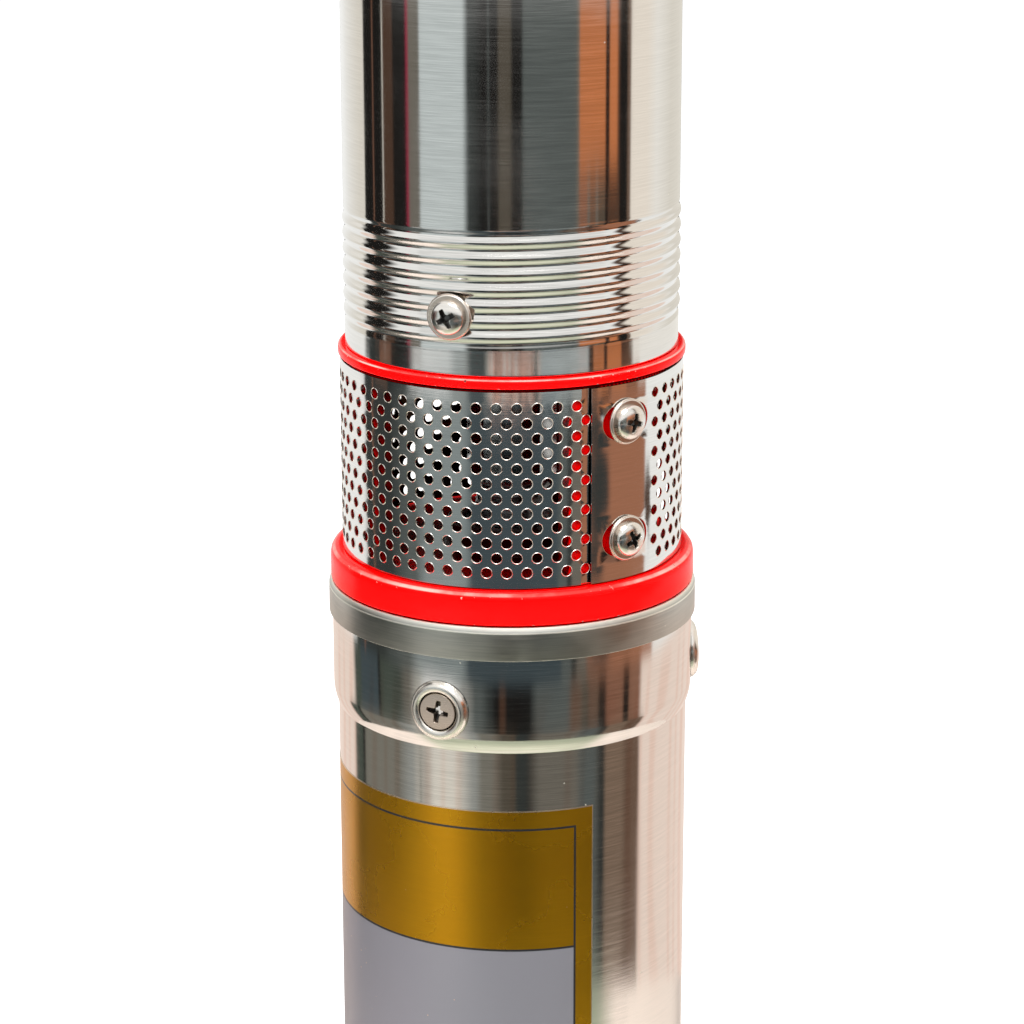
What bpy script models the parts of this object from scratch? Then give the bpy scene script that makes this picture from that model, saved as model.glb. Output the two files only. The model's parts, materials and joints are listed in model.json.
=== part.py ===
"""Borehole submersible screw pump, stood on its base.

The motor is below, the suction section with its strainer is in the middle, and the pump barrel and the
discharge head are above. All lengths are in metres. Z is up, the pump's axis is the Z axis and the origin is
the centre of the base. Bearings round the pump are in degrees, counted from -Y towards +X.
"""

import math

import bmesh
import bpy
from mathutils import Matrix, Vector

# Facets and clearances
SEGMENTS = 28
INNER_SEGMENTS = 20
SMALL_SEGMENTS = 14
SCREW_SEGMENTS = 8
ROD_SEGMENTS = 12
SMOOTH_ANGLE = 35.0
AXIS_DISPLAY_SIZE = 0.0200
SEAT_GAP = 0.0003
FIT_GAP = 0.0004
RUN_GAP = 0.0006

# Motor shell
TUBE_RADIUS = 0.0474
SHELL_WALL = 0.0012
SOCKET_STEP = 0.0013
RIM_STEP = 0.0009
RIM_HEIGHT = 0.0091
RIM_ROUND = 0.0008
SOCKET_HEIGHT = 0.0316
SOCKET_CONE = 0.0034
MOTOR_HEIGHT = 0.3050

# Base
BASE_FLANGE_HEIGHT = 0.0070
BASE_SPIGOT_HEIGHT = 0.0300
BASE_FLOOR = 0.0060
BASE_WALL = 0.0080
BASE_CHAMFER = 0.0020
DIAPHRAGM_THICKNESS = 0.0020
DIAPHRAGM_DISH = 0.0120
DIAPHRAGM_LIP = 0.0060

# Suction bracket
FLANGE_STEP = 0.0016
FLANGE_HEIGHT = 0.0083
FLANGE_ROUND = 0.0022
DECK_DEPTH = 0.0040
HUB_HEIGHT = 0.0070
HUB_SHARE = 0.3955
SPIGOT_FOOT_GAP = 0.0005
SPIGOT_WALL = 0.0065
PILLAR_ANGLE = 40.0
PILLAR_BEARING = 39.4
PILLAR_COUNT = 3
TOP_RING_STEP = 0.0020
TOP_RING_HEIGHT = 0.0030
TOP_RING_ROUND = 0.0007
TOP_WEB = 0.0030
THREAD_SPIGOT_HEIGHT = 0.0350
THREAD_SPIGOT_WALL = 0.0060
WINDOW_STEP_ANGLE = 10.0

# Strainer
STRAINER_HEIGHT = 0.0522
STRAINER_SHEET = 0.0005
STRAINER_ROWS = 6
STRAINER_COLUMNS = 26
STRAINER_HOLE = 0.0050
STRAINER_HOLE_SHARE = 0.9
STRAINER_EDGE = 0.0035
SEAM_BEARING = 26.7
BLANK_ANGLE = 25.9
BLANK_STEPS = 4
LAP_START_SHARE = 1.15
LAP_SLOPE_SHARE = 0.6
CABLE_BEARING = 118.0
CABLE_NOTCH_WIDTH = 0.0140
CABLE_NOTCH_HEIGHT = 0.0170
STRAINER_SCREW_HEIGHTS = (0.0199, 0.0510)
SLOT_WIDTH = 0.0090
SLOT_LENGTH = 0.0150

# Cable gland
GLAND_NUT_SHARE = 0.673
GLAND_NUT_HEIGHT = 0.0080
GLAND_NUT_CHAMFER = 0.0008
GLAND_NUT_CROWN_SHARE = 0.92
GLAND_NUT_SIDES = 12
GLAND_SLEEVE_SHARE = 0.344
GLAND_BORE_SHARE = 0.677
GLAND_SLEEVE_RISE = 0.0060

# Barrel with its rolled thread
BARREL_STEP = 0.0032
BARREL_WALL = 0.0012
BARREL_LENGTH = 0.2550
THREAD_START = 0.0086
THREAD_PITCH = 0.00405
THREAD_TURNS = 6.5
THREAD_CREST = 0.00035
THREAD_ROOT = 0.00035
THREAD_FADE_SHARE = 0.08
THREAD_FULLNESS = 1.5
THREAD_ROWS_PER_TURN = 3
LOCK_SCREW_BEARING = -20.4
LOCK_SCREW_RISE = 0.0154

# Discharge head
HEAD_SPIGOT_HEIGHT = 0.0290
HEAD_RING_HEIGHT = 0.0060
HEAD_CONE_HEIGHT = 0.0140
HEAD_NECK_HEIGHT = 0.0280
HEAD_SHOULDER_WIDTH = 0.0027
HEAD_CONE_WIDTH = 0.0160
HEAD_BORE_SHARE = 0.716
PORT_WALL = 0.0080
PORT_CHAMFER = 0.0020
LUG_REACH = 0.0070
LUG_BITE = 0.0033
LUG_ARC_STEPS = 4
LUG_RADIUS = 0.0085
LUG_THICKNESS = 0.0080
LUG_HOLE_RADIUS = 0.0045
LUG_RISE = 0.0150

# Non-return valve
VALVE_SEAT_HEIGHT = 0.0090
VALVE_BORE_SHARE = 0.5025
POPPET_OVERLAP = 0.0025
POPPET_THICKNESS = 0.0040
POPPET_STEM_RADIUS = 0.0030
VALVE_TRAVEL = 0.0060
VALVE_SPRING_ROOM = 0.0087
GUIDE_THICKNESS = 0.0035
GUIDE_HUB_RADIUS = 0.0070
GUIDE_RING_WIDTH = 0.0050
GUIDE_ARM_WIDTH = 0.0050
GUIDE_ARMS = 4
VALVE_SPRING_RADIUS = 0.0085
VALVE_SPRING_WIRE = 0.0007
VALVE_SPRING_TURNS = 4.0
SPRING_SIDES = 5
SPRING_STEPS_PER_TURN = 9

# Screw pump
ECCENTRICITY_SHARE = 0.35
ROTOR_SHARE = 0.33
ROTOR_PITCH = 0.0320
ROTOR_SET_BACK = 0.0020
ROTOR_SIDES = 12
ROTOR_STEPS_PER_TURN = 10
CAVITY_GAP = 0.0008
CAVITY_ARC_STEPS = 7
CAVITY_STEPS_PER_LEAD = 20
RUBBER_SHARE = 0.716
SLEEVE_WALL = 0.0025
SLEEVE_SKIRT_HEIGHT = 0.0300
SLEEVE_CONE_HEIGHT = 0.0060
SLEEVE_FLANGE_HEIGHT = 0.0050
GASKET_THICKNESS = 0.0020

# Drive train
SHAFT_RADIUS = 0.0070
SHAFT_RISE = 0.0400
SHAFT_FOOT = 0.0030
COUPLING_RADIUS = 0.0120
COUPLING_START = 0.0280
COUPLING_LENGTH = 0.0380
COUPLING_GRIP = 0.0145
COUPLING_WEB = 0.0030
SOCKET_BORE = 0.0074
KNOB_RADIUS = 0.0060
KNOB_LENGTH = 0.0120
KNOB_NECK_RADIUS = 0.0032
KNOB_NECK_LENGTH = 0.0048
KNOB_END_SHARE = 0.8
KNOB_CROWN_SHARE = 0.3
ROD_RADIUS = 0.0050
ROD_LENGTH = 0.0680
PIVOT_RISE = 0.0545
JOINT_PIN_RADIUS = 0.0015
JOINT_PIN_HOLE = 0.0018
ROTOR_HEAD_RADIUS = 0.0112
ROTOR_HEAD_LENGTH = 0.0210
ROTOR_HEAD_BELOW_PIVOT = 0.0090

# Shaft seal
SEAL_SEAT_RADIUS = 0.0125
SEAL_SEAT_HEIGHT = 0.0045
SEAL_FACE_RADIUS = 0.0110
SEAL_FACE_HEIGHT = 0.0040
SEAL_SPRING_RADIUS = 0.0096
SEAL_SPRING_WIRE = 0.0008
SEAL_SPRING_TURNS = 3.0

# Bearings and motor windings
BEARING_RADIUS = 0.0175
BEARING_HEIGHT = 0.0110
BEARING_RACE = 0.0038
BEARING_HOUSING_WALL = 0.0050
BEARING_LIP = 0.0022
BEARING_SHOULDER = 0.0030
LOWER_BRACKET_HEIGHT = 0.0180
LOWER_BRACKET_RIM = 0.0060
CORE_BOTTOM = 0.1000
CORE_CLEARANCE = 0.0161
CORE_DEPTH = 0.0218
CORE_SLOTS = 12
CORE_SLOT_DEPTH = 0.0110
CORE_SLOT_SHARE = 0.45
AIR_GAP = 0.0008
WINDING_HEIGHT = 0.0220
WINDING_WIDTH = 0.0130
WINDING_CHAMFER = 0.0039
ROTOR_OVERHANG = 0.0060

# Seal rings
O_RING_WIRE = 0.0014
O_RING_GROOVE = 0.0036
O_RING_SIDES = 4
BRACKET_RING_DROP = 0.0110
BASE_RING_RISE = 0.0085

# Screws
SHELL_SCREW_COUNT = 3
SHELL_SCREW_BEARING = -21.8
SHELL_SCREW_DROP = 0.0233
BASE_SCREW_RISE = 0.0240
CUP_RADIUS = 0.0079
CUP_HEIGHT = 0.0018
SCREW_HEAD_RADIUS = 0.0054
SCREW_SHANK_RADIUS = 0.0024
SCREW_LENGTH = 0.0075
SCREW_HOLE_RADIUS = 0.0029
PAN_HEAD_RADIUS = 0.0040
PAN_HEAD_HEIGHT = 0.0026
PAN_CROWN_SHARE = 0.6
PAN_EDGE_SHARE = 0.35
PAN_SHANK_RADIUS = 0.0019
PAN_LENGTH = 0.0080
PAN_HOLE_RADIUS = 0.0024
PAN_WASHER_RADIUS = 0.0059
PAN_WASHER_HEIGHT = 0.0008

# Heights and radii that follow from the sizes above
FLANGE_BOTTOM = MOTOR_HEIGHT
FLANGE_RADIUS = TUBE_RADIUS + FLANGE_STEP
BARREL_RADIUS = TUBE_RADIUS - BARREL_STEP
TOP_RING_RADIUS = BARREL_RADIUS + TOP_RING_STEP
DECK_TOP = FLANGE_BOTTOM + FLANGE_HEIGHT
SHELL_TOP = FLANGE_BOTTOM - SEAT_GAP
SOCKET_BOTTOM = SHELL_TOP - SOCKET_HEIGHT
SOCKET_RADIUS = TUBE_RADIUS + SOCKET_STEP
RIM_RADIUS = SOCKET_RADIUS + RIM_STEP
SPIGOT_RADIUS = SOCKET_RADIUS - SHELL_WALL - FIT_GAP
BASE_SPIGOT_RADIUS = TUBE_RADIUS - SHELL_WALL - FIT_GAP
STRAINER_INNER = TOP_RING_RADIUS - 2 * STRAINER_SHEET - SEAT_GAP
PILLAR_RADIUS = STRAINER_INNER - STRAINER_SHEET / 2 - FIT_GAP
STRAINER_BOTTOM = DECK_TOP + SEAT_GAP
STRAINER_TOP = STRAINER_BOTTOM + STRAINER_HEIGHT
RING_BOTTOM = STRAINER_TOP + SEAT_GAP
RING_TOP = RING_BOTTOM + TOP_RING_HEIGHT
BARREL_BOTTOM = RING_TOP + SEAT_GAP
BARREL_TOP = BARREL_BOTTOM + BARREL_LENGTH
BARREL_BORE = BARREL_RADIUS - BARREL_WALL - THREAD_ROOT
NECK_RADIUS = BARREL_BORE - FIT_GAP
BRACKET_BORE = NECK_RADIUS - THREAD_SPIGOT_WALL
RUBBER_RADIUS = NECK_RADIUS * RUBBER_SHARE
ROTOR_RADIUS = RUBBER_RADIUS * ROTOR_SHARE
ECCENTRICITY = ROTOR_RADIUS * ECCENTRICITY_SHARE
HEAD_BORE_RADIUS = NECK_RADIUS * HEAD_BORE_SHARE
HEAD_SHOULDER_RADIUS = TOP_RING_RADIUS - HEAD_SHOULDER_WIDTH
HEAD_NECK_RADIUS = HEAD_SHOULDER_RADIUS - HEAD_CONE_WIDTH
PORT_RADIUS = HEAD_NECK_RADIUS - PORT_WALL
LUG_OFFSET = HEAD_NECK_RADIUS + LUG_REACH
HUB_RADIUS = PILLAR_RADIUS * HUB_SHARE
GLAND_OFFSET = (PILLAR_RADIUS + HUB_RADIUS) / 2
GLAND_NUT_FLATS = (PILLAR_RADIUS - HUB_RADIUS) * GLAND_NUT_SHARE
GLAND_SLEEVE_RADIUS = GLAND_NUT_FLATS * GLAND_SLEEVE_SHARE
GLAND_BORE_RADIUS = GLAND_SLEEVE_RADIUS * GLAND_BORE_SHARE
THREAD_SPIGOT_TOP = RING_TOP + THREAD_SPIGOT_HEIGHT
SLEEVE_BOTTOM = THREAD_SPIGOT_TOP + 2 * SEAT_GAP + GASKET_THICKNESS
PIVOT_LOW = FLANGE_BOTTOM + PIVOT_RISE
PIVOT_HIGH = PIVOT_LOW + math.sqrt(ROD_LENGTH**2 - ECCENTRICITY**2)
RUBBER_BOTTOM = SLEEVE_BOTTOM + SLEEVE_SKIRT_HEIGHT + SLEEVE_CONE_HEIGHT
SLEEVE_INNER = RUBBER_RADIUS + FIT_GAP
SLEEVE_OUTER = SLEEVE_INNER + SLEEVE_WALL
HEAD_RING_BOTTOM = BARREL_TOP + SEAT_GAP
HEAD_SPIGOT_BOTTOM = HEAD_RING_BOTTOM - HEAD_SPIGOT_HEIGHT
SLEEVE_TOP = HEAD_SPIGOT_BOTTOM - 2 * SEAT_GAP - GASKET_THICKNESS
RUBBER_TOP = SLEEVE_TOP
HEAD_RING_TOP = HEAD_RING_BOTTOM + HEAD_RING_HEIGHT
HEAD_NECK_BOTTOM = HEAD_RING_TOP + HEAD_CONE_HEIGHT
HEAD_TOP = HEAD_NECK_BOTTOM + HEAD_NECK_HEIGHT
VALVE_SEAT_BOTTOM = HEAD_SPIGOT_BOTTOM
VALVE_SEAT_TOP = VALVE_SEAT_BOTTOM + VALVE_SEAT_HEIGHT
VALVE_SEAT_RADIUS = HEAD_BORE_RADIUS - FIT_GAP
VALVE_SEAT_BORE = VALVE_SEAT_RADIUS * VALVE_BORE_SHARE
POPPET_BOTTOM = VALVE_SEAT_TOP + SEAT_GAP
POPPET_TOP = POPPET_BOTTOM + POPPET_THICKNESS
GUIDE_BOTTOM = POPPET_TOP + VALVE_TRAVEL + VALVE_SPRING_ROOM
GUIDE_TOP = GUIDE_BOTTOM + GUIDE_THICKNESS
BASE_SPIGOT_TOP = BASE_FLANGE_HEIGHT + BASE_SPIGOT_HEIGHT
BASE_CAVITY_RADIUS = BASE_SPIGOT_RADIUS - BASE_WALL
DIAPHRAGM_BOTTOM = BASE_SPIGOT_TOP + SEAT_GAP
LOWER_BRACKET_BOTTOM = DIAPHRAGM_BOTTOM + DIAPHRAGM_THICKNESS + SEAT_GAP
LOWER_BRACKET_TOP = LOWER_BRACKET_BOTTOM + LOWER_BRACKET_HEIGHT
LOWER_BEARING_BOTTOM = LOWER_BRACKET_BOTTOM + BEARING_SHOULDER + SEAT_GAP
UPPER_BEARING_TOP = FLANGE_BOTTOM - DECK_DEPTH - SEAT_GAP
UPPER_BEARING_BOTTOM = UPPER_BEARING_TOP - BEARING_HEIGHT
SHAFT_BOTTOM = LOWER_BEARING_BOTTOM - SHAFT_FOOT
SHAFT_TOP = FLANGE_BOTTOM + SHAFT_RISE
BEARING_BORE = SHAFT_RADIUS + SEAT_GAP
CORE_RADIUS = TUBE_RADIUS - SHELL_WALL - FIT_GAP
CORE_BORE_RADIUS = CORE_RADIUS - CORE_DEPTH
CORE_TOP = SOCKET_BOTTOM - WINDING_HEIGHT - CORE_CLEARANCE
SEAL_POCKET_TOP = DECK_TOP + HUB_HEIGHT
SEAL_SEAT_TOP = SEAL_POCKET_TOP - SEAL_FACE_HEIGHT / 2
SEAL_FACE_BOTTOM = SEAL_SEAT_TOP + SEAT_GAP
SEAL_FACE_TOP = SEAL_FACE_BOTTOM + SEAL_FACE_HEIGHT
COUPLING_BOTTOM = FLANGE_BOTTOM + COUPLING_START
COUPLING_TOP = COUPLING_BOTTOM + COUPLING_LENGTH
BARREL_LOCK_HEIGHT = BARREL_BOTTOM + LOCK_SCREW_RISE
HEAD_LOCK_HEIGHT = BARREL_TOP - LOCK_SCREW_RISE
THREAD_CREST_RADIUS = BARREL_RADIUS + THREAD_CREST

# Colours, roughness and metallic value of each finish
FINISHES = {
    "stainless": ((0.62, 0.61, 0.59), 0.22, 1.0),
    "sheet": ((0.66, 0.65, 0.63), 0.18, 1.0),
    "red_paint": ((0.72, 0.015, 0.01), 0.3, 0.0),
    "cast_iron": ((0.16, 0.16, 0.17), 0.6, 0.6),
    "nickel": ((0.72, 0.69, 0.63), 0.25, 1.0),
    "chrome": ((0.78, 0.78, 0.8), 0.08, 1.0),
    "steel": ((0.42, 0.42, 0.43), 0.4, 1.0),
    "copper": ((0.55, 0.22, 0.08), 0.45, 0.7),
    "brass": ((0.7, 0.5, 0.2), 0.3, 1.0),
    "rubber": ((0.02, 0.02, 0.022), 0.7, 0.0),
    "ceramic": ((0.75, 0.73, 0.7), 0.35, 0.0),
}


def clear_scene():
    for obj in list(bpy.data.objects):
        bpy.data.objects.remove(obj, do_unlink=True)


def make_materials():
    materials = {}
    for name, (colour, roughness, metallic) in FINISHES.items():
        material = bpy.data.materials.new(name)
        material.use_nodes = True
        shader = material.node_tree.nodes["Principled BSDF"]
        shader.inputs["Base Color"].default_value = (*colour, 1.0)
        shader.inputs["Roughness"].default_value = roughness
        shader.inputs["Metallic"].default_value = metallic
        materials[name] = material
    return materials


MATERIALS = {}


def bearing_vector(bearing):
    """The level direction at a bearing round the pump."""
    angle = math.radians(bearing)
    return Vector((math.sin(angle), -math.cos(angle), 0.0))


def radial_matrix(bearing, radius, height):
    """A frame whose +Z points outwards at a bearing, and whose +Y points up."""
    outward = bearing_vector(bearing)
    up = Vector((0.0, 0.0, 1.0))
    side = up.cross(outward)
    matrix = Matrix((side, up, outward)).transposed().to_4x4()
    matrix.translation = outward * radius + up * height
    return matrix


def make_object(name, bm, finish, matrix=None, parent=None):
    """Turns a bmesh into a named object with its finish, faces outwards and round faces smooth."""
    bmesh.ops.recalc_face_normals(bm, faces=bm.faces)
    mesh = bpy.data.meshes.new(name)
    bm.to_mesh(mesh)
    bm.free()
    mesh.shade_smooth()
    mesh.set_sharp_from_angle(angle=math.radians(SMOOTH_ANGLE))
    obj = bpy.data.objects.new(name, mesh)
    bpy.context.scene.collection.objects.link(obj)
    if finish:
        mesh.materials.append(MATERIALS[finish])
    if matrix:
        obj.matrix_world = matrix
    if parent:
        obj.parent = parent
        obj.matrix_parent_inverse = parent.matrix_world.inverted()
    return obj


def make_axis(name, location, parent=None):
    """An empty on a joint's axis."""
    axis = bpy.data.objects.new(name, None)
    axis.empty_display_size = AXIS_DISPLAY_SIZE
    axis.matrix_world = Matrix.Translation(location)
    bpy.context.scene.collection.objects.link(axis)
    if parent:
        axis.parent = parent
        axis.matrix_parent_inverse = parent.matrix_world.inverted()
    return axis


def spun(profile, segments):
    """A bmesh turned about Z from a closed profile of (radius, height) points."""
    bm = bmesh.new()
    points = [bm.verts.new((radius, 0.0, height)) for radius, height in profile]
    edges = []
    for index, point in enumerate(points):
        following = points[(index + 1) % len(points)]
        if point.co.x > 0 or following.co.x > 0:
            edges.append(bm.edges.new((point, following)))
    bmesh.ops.spin(
        bm,
        geom=points + edges,
        cent=(0, 0, 0),
        axis=(0, 0, 1),
        angle=2 * math.pi,
        steps=segments,
        use_merge=True,
    )
    bmesh.ops.remove_doubles(bm, verts=bm.verts, dist=1e-6)
    return bm


def turned(name, profile, finish, segments=SEGMENTS, matrix=None, parent=None):
    return make_object(name, spun(profile, segments), finish, matrix, parent)


def rectangle(inner, outer, bottom, top):
    """The profile of a plain ring."""
    return [(outer, bottom), (outer, top), (inner, top), (inner, bottom)]


def quarter_round(radius, height, size, steps=2):
    """Points of a convex upper edge, from the side of a turned piece to its top face."""
    points = []
    for step in range(steps + 1):
        angle = math.pi / 2 * step / steps
        points.append(
            (radius - size + size * math.cos(angle), height - size + size * math.sin(angle))
        )
    return points


def cut(obj, cutter):
    """Cuts one shape out of an object."""
    cutter.hide_render = True
    cutter.display_type = "WIRE"
    modifier = obj.modifiers.new(cutter.name, "BOOLEAN")
    modifier.operation = "DIFFERENCE"
    modifier.solver = "EXACT"
    modifier.object = cutter


def radial_drill(name, bearing, height, radius, inner, outer, segments=SCREW_SEGMENTS):
    """A round cutter along a bearing, from one distance from the axis to another."""
    profile = [(0.0, 0.0), (radius, 0.0), (radius, outer - inner), (0.0, outer - inner)]
    return turned(name, profile, None, segments, radial_matrix(bearing, inner, height))


def helix_tube(name, coil_radius, wire_radius, bottom, top, turns, finish, parent=None):
    """A coil spring between two heights, its wire's centre line a helix about Z."""
    sides = SPRING_SIDES
    steps = round(turns * SPRING_STEPS_PER_TURN)
    start = bottom + wire_radius
    rise = top - bottom - 2 * wire_radius
    bm = bmesh.new()
    rings = []
    for step in range(steps + 1):
        share = step / steps
        angle = 2 * math.pi * turns * share
        centre = start + rise * share
        ring = []
        for side in range(sides):
            turn = 2 * math.pi * side / sides
            radius = coil_radius + wire_radius * math.cos(turn)
            height = centre + wire_radius * math.sin(turn)
            ring.append(bm.verts.new((radius * math.cos(angle), radius * math.sin(angle), height)))
        rings.append(ring)
    for lower, upper in zip(rings, rings[1:]):
        for side in range(sides):
            after = (side + 1) % sides
            bm.faces.new((lower[side], lower[after], upper[after], upper[side]))
    bm.faces.new(rings[0])
    bm.faces.new(rings[-1])
    return make_object(name, bm, finish, None, parent)


def lofted(rings):
    """A bmesh skinned over rings with the same number of points. A ring of one point closes an end."""
    bm = bmesh.new()
    loops = [[bm.verts.new(point) for point in ring] for ring in rings]
    for lower, upper in zip(loops, loops[1:]):
        count = max(len(lower), len(upper))
        for index in range(count):
            after = (index + 1) % count
            if len(lower) == 1:
                bm.faces.new((lower[0], upper[after], upper[index]))
            elif len(upper) == 1:
                bm.faces.new((lower[index], lower[after], upper[0]))
            else:
                bm.faces.new((lower[index], lower[after], upper[after], upper[index]))
    return bm


def circle_ring(centre_x, centre_y, radius, height, sides):
    ring = []
    for side in range(sides):
        angle = 2 * math.pi * side / sides
        ring.append(
            (centre_x + radius * math.cos(angle), centre_y + radius * math.sin(angle), height)
        )
    return ring


def countersunk_screw(name, bearing, height, face_radius):
    """A flat-headed screw, flush in its cup washer on a round face of the given radius."""
    top = CUP_HEIGHT - SEAT_GAP
    profile = [
        (0.0, top),
        (SCREW_HEAD_RADIUS, top),
        (SCREW_SHANK_RADIUS, 0.0),
        (SCREW_SHANK_RADIUS, -SCREW_LENGTH),
        (0.0, -SCREW_LENGTH),
    ]
    matrix = radial_matrix(bearing, face_radius + SEAT_GAP, height)
    return turned(name, profile, "nickel", SCREW_SEGMENTS, matrix)


def cup_washer(name, bearing, height, face_radius):
    """A domed ring with a conical seat for the screw's head."""
    rim = SCREW_HEAD_RADIUS + FIT_GAP
    profile = [
        (CUP_RADIUS, 0.0),
        (CUP_RADIUS - CUP_HEIGHT / 2, CUP_HEIGHT),
        (rim, CUP_HEIGHT),
        (rim - CUP_HEIGHT, 0.0),
    ]
    matrix = radial_matrix(bearing, face_radius + SEAT_GAP, height)
    return turned(name, profile, "nickel", SCREW_SEGMENTS, matrix)


def pan_screw(name, bearing, height, washer_top):
    """A pan-headed screw whose head sits on its washer."""
    profile = [
        (0.0, PAN_HEAD_HEIGHT),
        (PAN_HEAD_RADIUS * PAN_CROWN_SHARE, PAN_HEAD_HEIGHT),
        (PAN_HEAD_RADIUS, PAN_HEAD_HEIGHT * PAN_EDGE_SHARE),
        (PAN_HEAD_RADIUS, 0.0),
        (PAN_SHANK_RADIUS, 0.0),
        (PAN_SHANK_RADIUS, -PAN_LENGTH),
        (0.0, -PAN_LENGTH),
    ]
    matrix = radial_matrix(bearing, washer_top + SEAT_GAP, height)
    return turned(name, profile, "nickel", SCREW_SEGMENTS, matrix)


def pan_washer(name, bearing, height, face_radius):
    """A flat washer on a round face of the given radius. Returns the distance of its outer face."""
    profile = rectangle(PAN_HOLE_RADIUS, PAN_WASHER_RADIUS, 0.0, PAN_WASHER_HEIGHT)
    matrix = radial_matrix(bearing, face_radius + SEAT_GAP, height)
    turned(name, profile, "nickel", SCREW_SEGMENTS, matrix)
    return face_radius + SEAT_GAP + PAN_WASHER_HEIGHT


def shell_screw_bearings():
    step = 360.0 / SHELL_SCREW_COUNT
    return [SHELL_SCREW_BEARING + step * index for index in range(SHELL_SCREW_COUNT)]


def make_motor_shell():
    """A thin tube, expanded into a socket at its top, with a thicker rolled rim."""
    top = SHELL_TOP
    rim_bottom = top - RIM_HEIGHT
    cone_bottom = SOCKET_BOTTOM - SOCKET_CONE
    bottom = BASE_FLANGE_HEIGHT + SEAT_GAP
    profile = [
        (TUBE_RADIUS, bottom),
        (TUBE_RADIUS, cone_bottom),
        (SOCKET_RADIUS, SOCKET_BOTTOM),
        (SOCKET_RADIUS, rim_bottom - RIM_STEP / 2),
        (RIM_RADIUS, rim_bottom),
        *quarter_round(RIM_RADIUS, top, RIM_ROUND),
        (SOCKET_RADIUS - SHELL_WALL, top),
        (SOCKET_RADIUS - SHELL_WALL, SOCKET_BOTTOM),
        (TUBE_RADIUS - SHELL_WALL, cone_bottom),
        (TUBE_RADIUS - SHELL_WALL, bottom),
    ]
    shell = turned("motor_shell", profile, "stainless")
    inside = TUBE_RADIUS - 3 * SHELL_WALL
    outside = RIM_RADIUS + SHELL_WALL
    for index, bearing in enumerate(shell_screw_bearings(), 1):
        upper = FLANGE_BOTTOM - SHELL_SCREW_DROP
        for place, height in (("top", upper), ("base", BASE_SCREW_RISE)):
            name = f"shell_{place}_drill_{index}"
            cut(shell, radial_drill(name, bearing, height, SCREW_HOLE_RADIUS, inside, outside))


def make_shell_screws():
    for index, bearing in enumerate(shell_screw_bearings(), 1):
        upper = FLANGE_BOTTOM - SHELL_SCREW_DROP
        cup_washer(f"cup_washer_{index}", bearing, upper, SOCKET_RADIUS)
        countersunk_screw(f"motor_screw_{index}", bearing, upper, SOCKET_RADIUS)
        cup_washer(f"base_cup_washer_{index}", bearing, BASE_SCREW_RISE, TUBE_RADIUS)
        countersunk_screw(f"base_screw_{index}", bearing, BASE_SCREW_RISE, TUBE_RADIUS)


def drill_for_shell_screws(obj, prefix, height, face_radius):
    """Holes in a spigot for the shell's screws."""
    inner = face_radius - SCREW_LENGTH - 2 * SEAT_GAP
    outer = face_radius + SHELL_WALL
    for index, bearing in enumerate(shell_screw_bearings(), 1):
        name = f"{prefix}_drill_{index}"
        cut(obj, radial_drill(name, bearing, height, SCREW_HOLE_RADIUS, inner, outer))


def make_base():
    """The end cover, with its O-ring groove, and the diaphragm that it clamps."""
    groove = BASE_SPIGOT_RADIUS - 2 * O_RING_WIRE
    ring_bottom = BASE_FLANGE_HEIGHT + BASE_RING_RISE - O_RING_GROOVE / 2
    ring_top = ring_bottom + O_RING_GROOVE
    profile = [
        (0.0, 0.0),
        (TUBE_RADIUS - BASE_CHAMFER, 0.0),
        (TUBE_RADIUS, BASE_CHAMFER),
        (TUBE_RADIUS, BASE_FLANGE_HEIGHT),
        (BASE_SPIGOT_RADIUS, BASE_FLANGE_HEIGHT),
        (BASE_SPIGOT_RADIUS, ring_bottom),
        (groove, ring_bottom),
        (groove, ring_top),
        (BASE_SPIGOT_RADIUS, ring_top),
        (BASE_SPIGOT_RADIUS, BASE_SPIGOT_TOP),
        (BASE_CAVITY_RADIUS, BASE_SPIGOT_TOP),
        (BASE_CAVITY_RADIUS, BASE_FLOOR),
        (0.0, BASE_FLOOR),
    ]
    cover = turned("base_cover", profile, "stainless")
    drill_for_shell_screws(cover, "base", BASE_SCREW_RISE, TUBE_RADIUS)
    o_ring("base_o_ring", groove, (ring_bottom + ring_top) / 2)

    top = DIAPHRAGM_BOTTOM + DIAPHRAGM_THICKNESS
    dish_radius = BASE_CAVITY_RADIUS - FIT_GAP
    inner = dish_radius - DIAPHRAGM_LIP
    dish = DIAPHRAGM_BOTTOM - DIAPHRAGM_DISH
    profile = [
        (0.0, dish),
        (inner, dish),
        (dish_radius, DIAPHRAGM_BOTTOM),
        (BASE_SPIGOT_RADIUS, DIAPHRAGM_BOTTOM),
        (BASE_SPIGOT_RADIUS, top),
        (dish_radius, top),
        (inner, dish + DIAPHRAGM_THICKNESS),
        (0.0, dish + DIAPHRAGM_THICKNESS),
    ]
    turned("pressure_diaphragm", profile, "rubber", INNER_SEGMENTS)


def o_ring(name, groove_radius, height):
    """A rubber ring lying in its groove."""
    sides = O_RING_SIDES
    centre = groove_radius + SEAT_GAP + O_RING_WIRE
    wire = O_RING_WIRE - FIT_GAP
    profile = []
    for side in range(sides):
        angle = 2 * math.pi * (side + 0.5) / sides
        profile.append((centre + wire * math.cos(angle), height + wire * math.sin(angle)))
    turned(name, profile, "rubber")


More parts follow.
